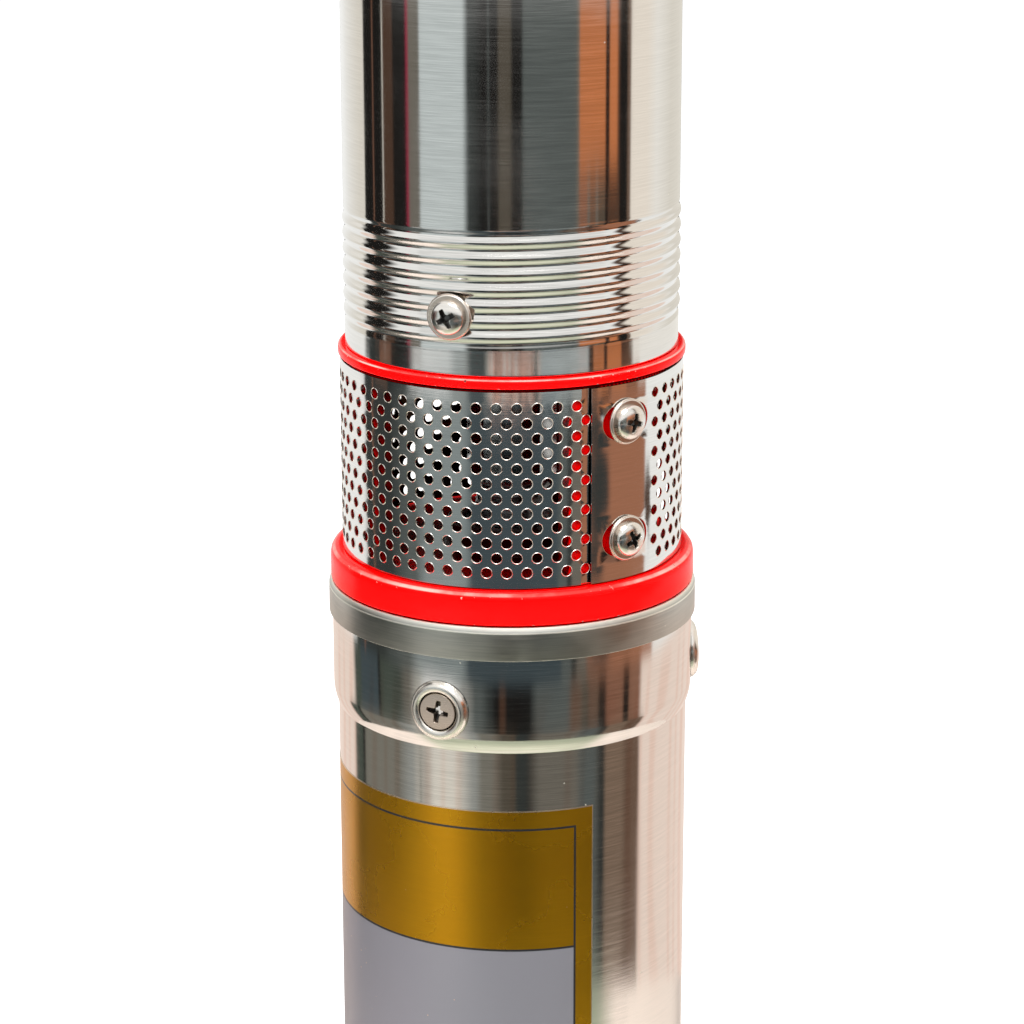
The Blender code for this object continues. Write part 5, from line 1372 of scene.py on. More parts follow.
@dataclass
class Strainer:
    """The perforated sheet, wrapped once round with a blank end that laps over a pillar.

    It is laid out flat in (turn, height, depth): degrees round the pump, millimetres up and millimetres out
    from the sheet's middle. Holes sit in cells of one pitch by one row, every second row half a pitch along,
    and cells share their border points, so the lattice step is a quarter pitch by half a row.
    """

    palette: Palette
    bottom: float = 314.0
    top: float = 365.85
    sheet: float = 0.5
    gap: float = 0.06
    dip: float = 0.45
    dip_turns: tuple[float, float] = (3.2, 0.6)
    lap_turns: tuple[float, float] = (24.0, 42.0)
    lap_lines: int = 15
    outer: float = 46.2
    flat_radius: float = 45.4
    lap_start: float = 26.2
    first_hole: float = 53.3
    pitch: float = 6.559
    columns: int = 51
    rows: int = 12
    row_height: float = 3.952
    hole: float = 1.34
    hole_apron: float = 0.21
    hole_lip: float = 0.1
    hole_burr: float = 0.1
    burr_root: float = 0.2
    first_row: float = 318.15
    slot_bearing: float = 39.65
    slot_radius: float = 4.5
    slot_half: float = 3.0
    slot_burr: float = 0.02
    slot_turns: tuple[float, float] = (-10.9, 10.9)
    slot_heights: tuple[float, float] = (-5.3, 5.6)
    notch_columns: tuple[int, int] = (8, 12)
    notch_rows: int = 5
    notch_half: float = 7.0
    notch_height: float = 17.0
    notch_steps: int = 33

    @property
    def degree(self) -> float:
        """Degrees round the pump in one millimetre of sheet."""
        return 360 / (2 * math.pi * self.flat_radius)

    @property
    def start(self) -> float:
        """Turn at which the holes' lattice begins."""
        return self.first_hole - self.pitch / 2

    def middle(self, turn: Grid) -> Grid:
        """Radius of the sheet's middle: outer on the lap, one sheet less after it, and a dip under its start.

        Args:
            turn: Degrees round the pump.

        Returns:
            The radius at each turn.
        """
        outer = self.outer - self.sheet / 2
        inward = (self.sheet + self.gap) * smooth_step(turn, *(self.lap_start + at for at in self.lap_turns))
        under = smooth_step(turn, *(self.lap_start + 360 - before for before in self.dip_turns))
        return outer - inward - self.dip * under

    def wrapped(self, flat: Surface) -> Surface:
        """Carries (turn, height, depth) onto the pump: r = middle(turn) + depth."""
        turn, height, depth = flat.points.T
        return replace(flat, points=around(self.middle(turn) + depth, np.radians(turn), height))

    def cells(self, centres: Grid, border: Grid, straight: float, radius: float, burr: float) -> Surface:
        """Cells that each have one hole: rings of points from the border to the hole's edge and through it.

        A ring point lies where the ray from the centre to its border point meets an obround: the line
        y = radius, or the end circle at s = a cos + sqrt(radius^2 - (a sin)^2).

        Args:
            centres: (turn, height) of each hole.
            border: Points round the cell in millimetres from its centre, counted anticlockwise.
            straight: Half length of the hole's straight part.
            radius: The hole's radius.
            burr: How far its rim stands out.

        Returns:
            The flat cells, both skins and the hole's wall.
        """
        angle = np.arctan2(border[:, 1], border[:, 0])
        between = angle + np.mod(np.roll(angle, -1) - angle, 2 * math.pi) / 2
        angle = np.stack([angle, between], axis=1).ravel()
        cos, sin = np.cos(angle), np.sin(angle)
        half = self.sheet / 2

        def ring(extra: float) -> Grid:
            """The obround grown by extra."""
            size = radius + extra
            flat_reach = size / np.maximum(abs(sin), TINY)
            end_reach = straight * abs(cos) + np.sqrt(np.maximum(size**2 - (straight * sin) ** 2, 0))
            reach = np.where(flat_reach * abs(cos) <= straight, flat_reach, end_reach)
            return np.stack([reach * cos, reach * sin], axis=1)

        levels = [
            (border, half),
            (ring(self.hole_apron), half),
            (ring(self.hole_lip), half + burr),
            (ring(0.0), half + burr * self.burr_root),
            (ring(0.0), -half),
            (border, -half),
        ]
        local = np.vstack([np.column_stack([spot, np.full(len(spot), depth)]) for spot, depth in levels])
        local[:, 0] *= self.degree
        base = np.column_stack([centres, np.zeros(len(centres))])
        points = (base[:, None, :] + local[None]).reshape(-1, 3)
        count, fine = len(border), 2 * len(border)
        near, turn = np.arange(count), np.arange(fine)
        beyond, after = (near + 1) % count, (turn + 1) % fine
        first, last, foot = count, count + 3 * fine, count + 4 * fine
        quads = [
            (near, beyond, first + 2 * beyond, first + 2 * near + 1),
            *((k + turn, k + after, k + fine + after, k + fine + turn) for k in range(first, last, fine)),
            (last + 2 * near + 1, last + 2 * beyond, foot + beyond, foot + near),
        ]
        corners = [
            (near, first + 2 * near + 1, first + 2 * near),
            (last + 2 * near, last + 2 * near + 1, foot + near),
        ]
        start = (np.arange(len(centres)) * len(local))[:, None, None]
        faces = []
        for group in (quads, corners):
            once = np.vstack([np.stack(numbers, axis=1) for numbers in group])
            faces.append((once[None] + start).reshape(-1, once.shape[1]))
        # Painted highlight and painted shade: the hole's lip and burr are worn cut edge lit bright (1), the
        # inner skin and the hole's wall are in painted shade (-1).
        worn = np.repeat([0.0, 0.0, 1.0, 1.0, -1.0, -1.0], [count, fine, fine, fine, fine, count])
        return Surface(points, tuple(faces), np.tile(worn, len(centres)))

    def blank(self, turns: Grid, heights: Grid, kept: Grid | slice = slice(None)) -> Surface:
        """A plain stretch of both skins on the given lattice lines.

        Args:
            turns: The turns.
            heights: The heights.
            kept: Which of the lattice's faces are there.

        Returns:
            The outer skin and the inner one, which carries painted shade.
        """
        turn, height = np.meshgrid(turns, heights, indexing="ij")
        faces = grid_faces(len(turns), len(heights), False)[kept]
        spots = np.stack([turn, height, np.full(turn.shape, self.sheet / 2)], axis=-1).reshape(-1, 3)
        outside = Surface(spots, (faces,))
        inside = Surface(spots * (1, 1, -1), (faces[:, ::-1],), np.full(len(spots), -1.0))
        return joined(outside, inside)

    def rim(self, turns: Grid, heights: Grid) -> Surface:
        """The cut edge along a line of border points, from the outer skin to the inner one.

        Args:
            turns: The line's turns, or one for all.
            heights: The line's heights, or one for all.

        Returns:
            A strip, half worn: the sheet's cut-edge tone, worn metal and painted highlight together, comes in
                at half strength.
        """
        line = np.stack(np.broadcast_arrays(turns, heights), axis=1)
        count = len(line)
        depth = np.repeat([self.sheet / 2, -self.sheet / 2], count)
        first = np.arange(count - 1)
        quads = np.stack([first, first + count, first + count + 1, first + 1], axis=1)
        return Surface(np.column_stack([np.tile(line, (2, 1)), depth]), (quads,), np.full(2 * count, 0.5))

    def lattice_lines(self) -> tuple[Grid, Grid]:
        """Turns a quarter pitch apart past the blank end, and heights half a row apart with the two margins.

        Returns:
            The turns and the heights.
        """
        before = np.linspace(self.lap_start, self.start, self.lap_lines)[:-1]
        turns = np.append(before, self.start + self.pitch / 4 * np.arange(4 * self.columns + 4))
        low = self.first_row - self.row_height / 2
        rows = low + self.row_height / 2 * np.arange(2 * self.rows + 1)
        return turns, np.concatenate([[self.bottom], rows, [self.top]])

    def surface(self) -> Surface:
        """The whole sheet: holes, plain stretches, lap, cable notch and cut edges.

        Returns:
            One skin, wrapped round the pump.
        """
        turns, heights = self.lattice_lines()
        first = int(np.argmin(abs(turns - self.start)))
        last = first + 4 * self.columns + 2
        low, high = (first + 4 * column for column in self.notch_columns)
        parts = [
            self.holes(turns[low], turns[high], heights[1 + 2 * self.notch_rows]),
            self.notch(turns[low : high + 1], heights[: 2 + 2 * self.notch_rows]),
            *self.lap(turns[: first + 1], heights),
            self.blank(turns[last:], heights),
            self.blank(turns[first : low + 1], heights[:2]),
            self.blank(turns[high : last + 1], heights[:2]),
            self.blank(turns[first : last + 1], heights[-2:]),
            self.rim(turns[: low + 1], self.bottom).reversed(),
            self.rim(turns[high:], self.bottom).reversed(),
            self.rim(turns, self.top),
            self.rim(turns[0], heights),
            self.rim(turns[-1], heights).reversed(),
        ]
        for index in range(self.rows):
            shifted = self.is_shifted(index)
            half_cells = [first if shifted else last - 2]
            if shifted and index < self.notch_rows:
                half_cells += [low - 2, high]
            for start in half_cells:
                parts.append(self.blank(turns[start : start + 3], heights[1 + 2 * index : 4 + 2 * index]))
        return welded(self.wrapped(joined(*parts)))

    def is_shifted(self, row: Grid | int) -> Grid | bool:
        """Whether a row's holes stand half a pitch along. Rows count from the lowest."""
        return (self.rows - 1 - row) % 2 == 1

    def holes(self, low: float, high: float, top: float) -> Surface:
        """The cells of all holes but those in the cable notch's patch.

        Args:
            low: First turn of the patch.
            high: Its last turn.
            top: Its height.

        Returns:
            The cells.
        """
        half = np.array([(1, 0), (1, 1), (0.5, 1), (0, 1), (-0.5, 1), (-1, 1)])
        border = np.vstack([half, -half]) * (self.pitch / self.degree / 2, self.row_height / 2)
        row = np.arange(self.rows)
        offset = np.where(self.is_shifted(row), self.pitch / 2, 0)[:, None]
        turn = self.first_hole + self.pitch * np.arange(self.columns)[None, :] + offset
        height = np.broadcast_to((self.first_row + self.row_height * row)[:, None], turn.shape)
        centres = np.stack([turn, height], axis=-1).reshape(-1, 2)
        beside = (centres[:, 0] < low - 0.01) | (centres[:, 0] > high + 0.01)
        return self.cells(centres[beside | (centres[:, 1] > top)], border, 0.0, self.hole, self.hole_burr)

    def notch(self, turns: Grid, heights: Grid) -> Surface:
        """The sheet round the cable notch: a strip from the lattice border in to an arch.

        The arch goes up one side, over a half circle and down the other, and meets the border point by point
        at equal shares of its length.

        Args:
            turns: Lattice turns from one side of the patch to the other.
            heights: Lattice heights from the sheet's lower edge to the patch's top.

        Returns:
            Both skins and the arch's cut edge.
        """
        left = np.column_stack([np.full(len(heights), turns[0]), heights])
        over = np.column_stack([turns[1:-1], np.full(len(turns) - 2, heights[-1])])
        right = np.column_stack([np.full(len(heights), turns[-1]), heights[::-1]])
        border = np.vstack([left, over, right])
        half = self.notch_half
        swing = np.linspace(math.pi, 0, self.notch_steps)
        arch = np.column_stack([half * np.cos(swing), self.notch_height - half + half * np.sin(swing)])
        arch = np.vstack([[(-half, 0.0)], arch, [(half, 0.0)]])
        length = np.concatenate([[0], np.cumsum(np.linalg.norm(np.diff(arch, axis=0), axis=1))])
        share = np.linspace(0, length[-1], len(border))
        inner = np.column_stack([np.interp(share, length, arch[:, k]) for k in (0, 1)])
        inner = inner * (self.degree, 1.0) + ((turns[0] + turns[-1]) / 2, self.bottom)
        count = len(border)
        levels = [(border, 1), (inner, 1), (inner, -1), (border, -1)]
        spots = np.vstack([np.column_stack([p, np.full(count, s * self.sheet / 2)]) for p, s in levels])
        quads = grid_faces(4, count, False)[:, ::-1]
        feet = [self.rim(*np.stack([border[index], inner[index]]).T) for index in (0, -1)]
        return joined(Surface(spots, (quads,)), feet[0].reversed(), feet[1])

    def lap(self, turns: Grid, heights: Grid) -> list[Surface]:
        """The blank end with its two obround slots, each in a patch of the lattice.

        Args:
            turns: Lattice turns of the blank end.
            heights: All lattice heights.

        Returns:
            The patches.
        """
        parts: list[Surface] = []
        filled = np.zeros((len(turns) - 1, len(heights) - 1), bool)
        for slot_height in LAP_SCREWS.values():
            centre = np.array([self.slot_bearing, slot_height])
            low, high = np.searchsorted(turns, centre[0] + np.array(self.slot_turns))
            foot, head = np.searchsorted(heights, centre[1] + np.array(self.slot_heights))
            low, high = low - 1, min(high, len(turns) - 1)
            foot, head = foot - 1, min(head, len(heights) - 1)
            filled[low:high, foot:head] = True
            across, up = turns[low : high + 1], heights[foot : head + 1]
            sides = ((across, up[0]), (across[-1], up), (across[::-1], up[-1]), (across[0], up[::-1]))
            border = np.vstack([np.stack(np.broadcast_arrays(*side), axis=1)[:-1] for side in sides])
            local = (border - centre) / (self.degree, 1.0)
            parts.append(self.cells(centre[None], local, self.slot_half, self.slot_radius, self.slot_burr))
        return [*parts, self.blank(turns, heights, ~filled.ravel())]

    def build(self) -> None:
        """Makes the sheet."""
        sheet = self.palette[Finish.SHEET]
        make_piece("strainer_sheet", self.surface(), sheet, ("strainer",), sharp=12.0)


# Barrel and discharge head


@dataclass
class Barrel:
    """The pump's tube, with a rolled right-hand thread near each end."""

    palette: Palette
    radius: float = 44.2
    bore: float = 42.65
    bottom: float = 369.4
    top: float = 624.4
    end_height: float = 0.6
    plain_lines: int = 14
    thread_start: float = 8.2
    pitch: float = 4.05
    pitch_steps: int = 18
    turns: float = 7.0
    fade_turns: float = 0.07
    depth: float = 0.34
    segments: int = 240

    def thread(self, turn: Grid, height: Grid) -> Grid:
        """How far the thread lifts the face: depth times cos(2 pi (height / pitch - turn)).

        A crest's travel is its number plus the turn, and the wave fades where the travel of its two nearest
        crests leaves 0 to the count of turns.

        Args:
            turn: Share of the way round the pump, from the back.
            height: Millimetres above the thread's start, measured inwards from the tube's end.

        Returns:
            The change of radius in millimetres.
        """
        phase = height / self.pitch - turn
        number = np.floor(phase)
        part = smooth_step(phase - number, 0.0, 1.0)
        before, after = self.fade(number + turn), self.fade(number + 1 + turn)
        return self.depth * np.cos(2 * math.pi * phase) * (before * (1 - part) + after * part)

    def fade(self, travel: Grid) -> Grid:
        """How much of the thread is there after a travel in turns: none before 0 and past its end."""
        leaving = smooth_step(travel, self.turns - self.fade_turns, self.turns)
        return smooth_step(travel, 0.0, self.fade_turns) * (1 - leaving)

    def surface(self) -> Surface:
        """The outer face as r = radius + thread(bearing, height), the rolled ends and the plain bore.

        Returns:
            A closed skin.
        """
        zone = self.thread_start + (self.turns + 2) * self.pitch
        fine = np.arange(self.end_height, zone, self.pitch / self.pitch_steps)
        low, high = self.bottom + fine, self.top - fine[::-1]
        levels = np.concatenate([low, np.linspace(low[-1], high[0], self.plain_lines)[1:-1], high])
        angle = full_turn(self.segments)
        bearing, height = np.meshgrid(angle, levels, indexing="ij")
        turn = (bearing / (2 * math.pi) + 0.5) % 1.0
        lower = self.thread(turn, height - self.bottom - self.thread_start)
        upper = self.thread(1 - turn, self.top - self.thread_start - height)
        face = np.stack([self.radius + lower + upper, height], axis=-1)
        corners = [(self.bore, self.bottom, 0.3), (self.radius, self.bottom, 0.5)]
        start, _ = filleted([*corners, (self.radius, self.bottom + self.end_height)], False)
        finish = np.column_stack([start[::-1, 0], self.bottom + self.top - start[::-1, 1]])
        foot, head = (np.broadcast_to(end, (self.segments, *end.shape)) for end in (start, finish))
        profile = np.concatenate([foot, face, head, foot[:, :1]], axis=1)
        spots = around(profile[..., 0], angle[:, None], profile[..., 1]).reshape(-1, 3)
        return welded(Surface(spots, (grid_faces(self.segments, profile.shape[1], True),)))

    def build(self) -> None:
        """Makes the tube."""
        tube = self.palette[Finish.TUBE]
        make_piece("barrel_tube", self.surface(), tube, ("pump_barrel",))


@dataclass
class DischargeHead:
    """The red head casting: spigot, ring, shoulder, threaded port and two rope eyes."""

    palette: Palette
    ring: float = 46.2
    neck: float = 27.5
    shoulder: float = 43.5
    port: float = 19.5
    port_rim: float = 2.0
    port_pitch: float = 2.3
    port_depth: float = 0.75
    port_steps: int = 8
    port_gap: float = 0.05
    port_back: float = 0.6
    port_start: float = 1.0
    port_fade: tuple[float, float] = (1.6, 3.6)
    port_segments: int = 96
    spigot: float = 42.25
    bore: float = 30.25
    bore_top: float = 627.5
    bottom: float = 595.7
    ring_bottom: float = 624.7
    ring_top: float = 630.7
    neck_bottom: float = 644.7
    top: float = 672.7
    eye_offset: float = 34.5
    eye_height: float = 652.7
    eye_radius: float = 4.5
    eye_segments: int = 72
    lug_radius: float = 8.5
    lug_half: float = 4.0
    lug_inward: float = 9.5
    lug_foot: float = 21.4
    lug_soft: float = 0.7
    hole_wear_and_sheen: float = 0.4
    lug_wear_and_sheen: float = 0.8
    segments: int = 192

    def casting(self) -> Surface:
        """The turned body.

        Returns:
            A closed skin.
        """
        corners = [
            (self.bore, self.bottom, 0.4),
            (self.spigot, self.bottom, 0.8),
            (self.spigot, self.ring_bottom, 0.2),
            (self.ring, self.ring_bottom, 0.5),
            (self.ring, self.ring_top, 1.1),
            (self.shoulder, self.ring_top, 1.2),
            (self.neck, self.neck_bottom, 3.0),
            (self.neck, self.top, 0.9),
            (self.port + self.port_rim, self.top, 0.3),
            (self.port, self.top - self.port_rim, 0.2),
            (self.port, self.neck_bottom, 1.0),
            (self.bore, self.bore_top, 0.5),
        ]
        return turned(filleted(corners), self.segments)

    def port_thread(self) -> Surface:
        """The port's inner thread: a lining whose radius falls by a wave of height / pitch less the turn.

        Returns:
            A closed ring.
        """
        low, high = self.neck_bottom + self.port_start, self.top - self.port_rim
        z = np.arange(low, high, self.port_pitch / self.port_steps)
        angle = full_turn(self.port_segments)
        bearing, height = np.meshgrid(angle, z, indexing="ij")
        wave = 0.5 + 0.5 * np.cos(2 * math.pi * (height / self.port_pitch - bearing / (2 * math.pi)))
        wave *= self.port_depth * smooth_step(self.top - height, *self.port_fade)
        face = around(self.port - self.port_gap - wave, bearing, height)
        foot, head = (around(self.port + self.port_back, angle, level)[:, None] for level in (z[0], z[-1]))
        loop = np.concatenate([foot, head, face[:, ::-1], foot], axis=1)
        return welded(Surface(loop.reshape(-1, 3), (grid_faces(len(angle), loop.shape[1], True),)))

    def eye(self, side: int) -> Surface:
        """One rope eye: an upright plate with a round top corner, its hole joined to its outline ray by ray.

        Args:
            side: 1 for +X, -1 for -X.

        Returns:
            A closed ring-shaped plate.
        """
        angle = full_turn(self.eye_segments)
        cos, sin = np.cos(angle), np.sin(angle)
        reach_x = np.where(cos > 0, self.lug_radius, self.lug_inward) / np.maximum(abs(cos), TINY)
        reach_z = np.where(sin > 0, self.lug_radius, self.lug_foot) / np.maximum(abs(sin), TINY)
        reach = np.where((cos > 0) & (sin > 0), self.lug_radius, np.minimum(reach_x, reach_z))
        hole, soft, half = self.eye_radius, self.lug_soft, self.lug_half
        near = [(hole, soft - half), (hole + soft, -half), (reach - soft, -half), (reach, soft - half)]
        far = [(radius, -depth) for radius, depth in reversed(near)]
        rings = [
            np.stack(
                [
                    side * (self.eye_offset + radius * cos),
                    np.full(len(angle), depth),
                    self.eye_height + radius * sin,
                ],
                axis=-1,
            )
            for radius, depth in (*near, *far, near[0])
        ]
        # Wear on the eye's edges, which the enamel also reads as the place for its painted highlight.
        worn = np.repeat([self.hole_wear_and_sheen, self.lug_wear_and_sheen, self.hole_wear_and_sheen], [2, 4, 3])
        faces = (grid_faces(len(angle), len(rings), True),)
        plate = Surface(np.stack(rings, axis=1).reshape(-1, 3), faces, np.tile(worn, len(angle)))
        return welded(plate if side < 0 else plate.reversed())

    def build(self) -> None:
        """Makes the head as one piece."""
        head = joined(self.casting(), self.port_thread(), self.eye(1), self.eye(-1))
        make_piece("head_casting", head, self.palette[Finish.PAINT], ("discharge_head",))


# Studio


class Card(Enum):
    """Matt cards that stand round the pump for its metal to mirror, each named for its tone."""

    WHITE = (0.97, 0.97, 0.95)
    PEARL = (0.93, 0.90, 0.84)
    CREAM = (0.93, 0.85, 0.75)
    LINEN = (0.80, 0.76, 0.68)
    ROSE = (0.93, 0.77, 0.68)
    SILVER = (0.62, 0.68, 0.68)
    FOG = (0.34, 0.35, 0.33)
    MIDDLE = (0.5, 0.48, 0.43)
    MIST = (0.25, 0.29, 0.29)
    DRAB = (0.21, 0.20, 0.17)
    UMBRA = (0.23, 0.16, 0.115)
    EARTH = (0.16, 0.10, 0.07)
    ASH = (0.17, 0.155, 0.13)
    SLATE = (0.11, 0.125, 0.12)
    DUSK = (0.06, 0.08, 0.09)
    PINE = (0.07, 0.085, 0.07)
    CHARCOAL = (0.04, 0.045, 0.043)
    BLACK = (0.014, 0.013, 0.012)
    SOIL = (0.10, 0.085, 0.065)
    UMBER = (0.08, 0.045, 0.03)
    CLAY = (0.26, 0.13, 0.085)
    BRONZE = (0.38, 0.165, 0.095)
    TAN = (0.62, 0.21, 0.08)
    MAROON = (0.30, 0.03, 0.06)


Flat = tuple[float, float, Card]
BACK_LEFT: Flat = (-180, -168, Card.CHARCOAL)
BACK_RIGHT: Flat = (168, 180, Card.CHARCOAL)
TUBE_FLATS: list[Flat] = [
    (-166, -124, Card.ROSE), (-121, -113, Card.PINE), (-112, -110.5, Card.BLACK),
    (-109, -77, Card.DRAB), (-68, -66, Card.FOG), (-62.5, -61, Card.MIDDLE), (-60.3, -60, Card.DRAB),
    (-59.3, -56, Card.MIDDLE), (-50, -36, Card.LINEN), (-25, -23.5, Card.FOG), (-19, -11, Card.DRAB),
    (-6, 1, Card.SOIL), (3, 9, Card.CHARCOAL), (17, 40, Card.ASH), (44, 54, Card.SLATE),
    (57.5, 59, Card.CHARCOAL), (61.5, 73, Card.UMBRA), (77, 87, Card.EARTH), (89.5, 164, Card.ROSE),
]
SOCKET_FLATS: list[Flat] = [
    (-166, -117, Card.ROSE), (-113, -108, Card.PINE), (-106, -90, Card.DUSK),
    (-89.6, -88.4, Card.BLACK), (-87, -72, Card.PINE), (-67, -65, Card.ASH), (-59, -58, Card.MIDDLE),
    (-52, -38, Card.WHITE), (-29, -27.5, Card.FOG), (-22, -19, Card.SLATE),
    (-13.5, -12.5, Card.CHARCOAL), (-10, -8.3, Card.BLACK), (-7, -5, Card.UMBER), (-3, 10, Card.BLACK),
    (15, 33, Card.SLATE), (36, 41, Card.EARTH), (43, 46, Card.SOIL), (47, 52, Card.EARTH),
    (54, 57.5, Card.BLACK), (58.6, 70, Card.CLAY), (71.5, 74.5, Card.BLACK), (75.5, 83, Card.CLAY),
    (86, 164, Card.ROSE),
]
STRAINER_FLATS: list[Flat] = [
    (-166, -111.6, Card.WHITE), (-109.4, -102.1, Card.CHARCOAL), (-101.6, -101, Card.CLAY),
    (-100.4, -84, Card.CHARCOAL), (-70, -64, Card.SLATE), (-57, -30, Card.MIST), (-25, 28, Card.DUSK),
    (30, 34.5, Card.SLATE), (35.5, 37.5, Card.CHARCOAL), (39, 44, Card.ASH), (45.5, 49, Card.CLAY),
    (52, 93, Card.BRONZE), (95, 164, Card.WHITE),
]
FOOT_FLATS: list[Flat] = [
    (-166, -117, Card.WHITE), (-113, -99, Card.CHARCOAL), (-97, -87, Card.CLAY), (-86, -71, Card.BLACK),
    (-66, -42, Card.WHITE), (-36, -29, Card.FOG), (-26, -18, Card.SLATE), (-14, 16, Card.LINEN),
    (20, 50, Card.SILVER), (52, 54, Card.BLACK), (55, 62, Card.TAN), (63, 64.5, Card.BLACK),
    (65.5, 76, Card.TAN), (77, 85, Card.UMBER), (88, 164, Card.PEARL),
]
BARREL_LEFT: list[Flat] = [
    (-166, -150, Card.WHITE), (-119, -112.8, Card.LINEN), (-112, -102.5, Card.BLACK),
    (-102, -101.6, Card.CLAY), (-101.1, -92.4, Card.BLACK), (-92, -91.6, Card.LINEN),
    (-91, -83, Card.UMBER), (-81.5, -71.8, Card.BLACK), (-70.6, -69.8, Card.MAROON),
    (-68.5, -61.5, Card.ASH), (-60, -31, Card.SILVER), (-27.5, -24, Card.CHARCOAL),
    (-18, -15, Card.BLACK), (-14.6, -14.2, Card.SLATE), (-13.8, -9, Card.BLACK), (-7.5, -1, Card.SOIL),
    (1, 6, Card.BLACK), (8, 41, Card.SLATE), (42.5, 43.2, Card.ASH),
]
BARREL_RIGHT: list[Flat] = [
    (73, 73.4, Card.UMBER), (74.5, 80, Card.BLACK), (80.6, 82.6, Card.EARTH), (84, 99, Card.CREAM),
    (110, 111, Card.PEARL), (131, 165, Card.LINEN),
]
LOW_FLATS: list[Flat] = [
    *BARREL_LEFT,
    (44.3, 49, Card.CLAY), (50, 51, Card.ASH), (52, 55, Card.EARTH), (56, 57, Card.ASH),
    (58, 62.3, Card.SOIL), (62.9, 64.3, Card.BLACK), (65, 71, Card.UMBER),
    *BARREL_RIGHT,
]
HIGH_FLATS: list[Flat] = [
    *BARREL_LEFT,
    (44.5, 62.3, Card.TAN), (62.9, 65.3, Card.BLACK), (66, 71, Card.TAN),
    *BARREL_RIGHT,
]
TOP_FLATS: list[Flat] = [
    (-166, -118, Card.PEARL), (-112, -92, Card.BLACK), (-84, 72, Card.WHITE), (76, 79, Card.UMBER),
    (84, 120, Card.CREAM), (130, 164, Card.PEARL),
]
# Lowest and highest level of each tier in millimetres, and its flats.
TIERS = [
    (0.0, 128.0, TUBE_FLATS),
    (136.0, 180.0, SOCKET_FLATS),
    (187.0, 271.0, STRAINER_FLATS),
    (275.0, 288.0, FOOT_FLATS),
    (292.0, 349.0, LOW_FLATS),
    (358.0, 422.0, HIGH_FLATS),
    (446.0, 820.0, TOP_FLATS),
]
# Dark shapes among the cards: bearing and height of the middle, half width and half height, and the card.
BLOTS = [
    (53.5, 258.0, 6.5, 9.0, Card.CHARCOAL),
    (57.0, 232.0, 7.5, 22.0, Card.CHARCOAL),
    (54.0, 205.0, 6.5, 9.0, Card.CHARCOAL),
    (97.0, 222.0, 4.0, 16.0, Card.UMBER),
    (60.6, 267.0, 3.5, 3.5, Card.BLACK),
]
BLOT_EDGE = (0.6, 1.2)
VEIN_EDGE = (0.2, 0.9)
VEIN_LEVELS = (150.0, 190.0)
VEIN_TONE = (0.04, 0.13, 0.16)
FOLD_SCALE = 34.0
FOLD_TWIST = 1.6
FOLD_LIGHT = (0.55, 0.6)
FOLD_DARK = (0.42, 0.46)
FOLD_TONES = ((0.9, 0.5, 0.38), (0.95, 0.93, 0.88), (0.03, 0.02, 0.018))
FOLD_LEVELS = ((268.0, 276.0), (284.0, 291.0))
FOLD_BEARINGS = ((-16.0, -12.0), (14.0, 20.0))


def within_range(value: Grid, low: tuple[float, float], high: tuple[float, float]) -> Grid:
    """A mask that rises from 0 to 1 over the low pair and falls back over the high one."""
    return smooth_step(value, *low) * (1 - smooth_step(value, *high))


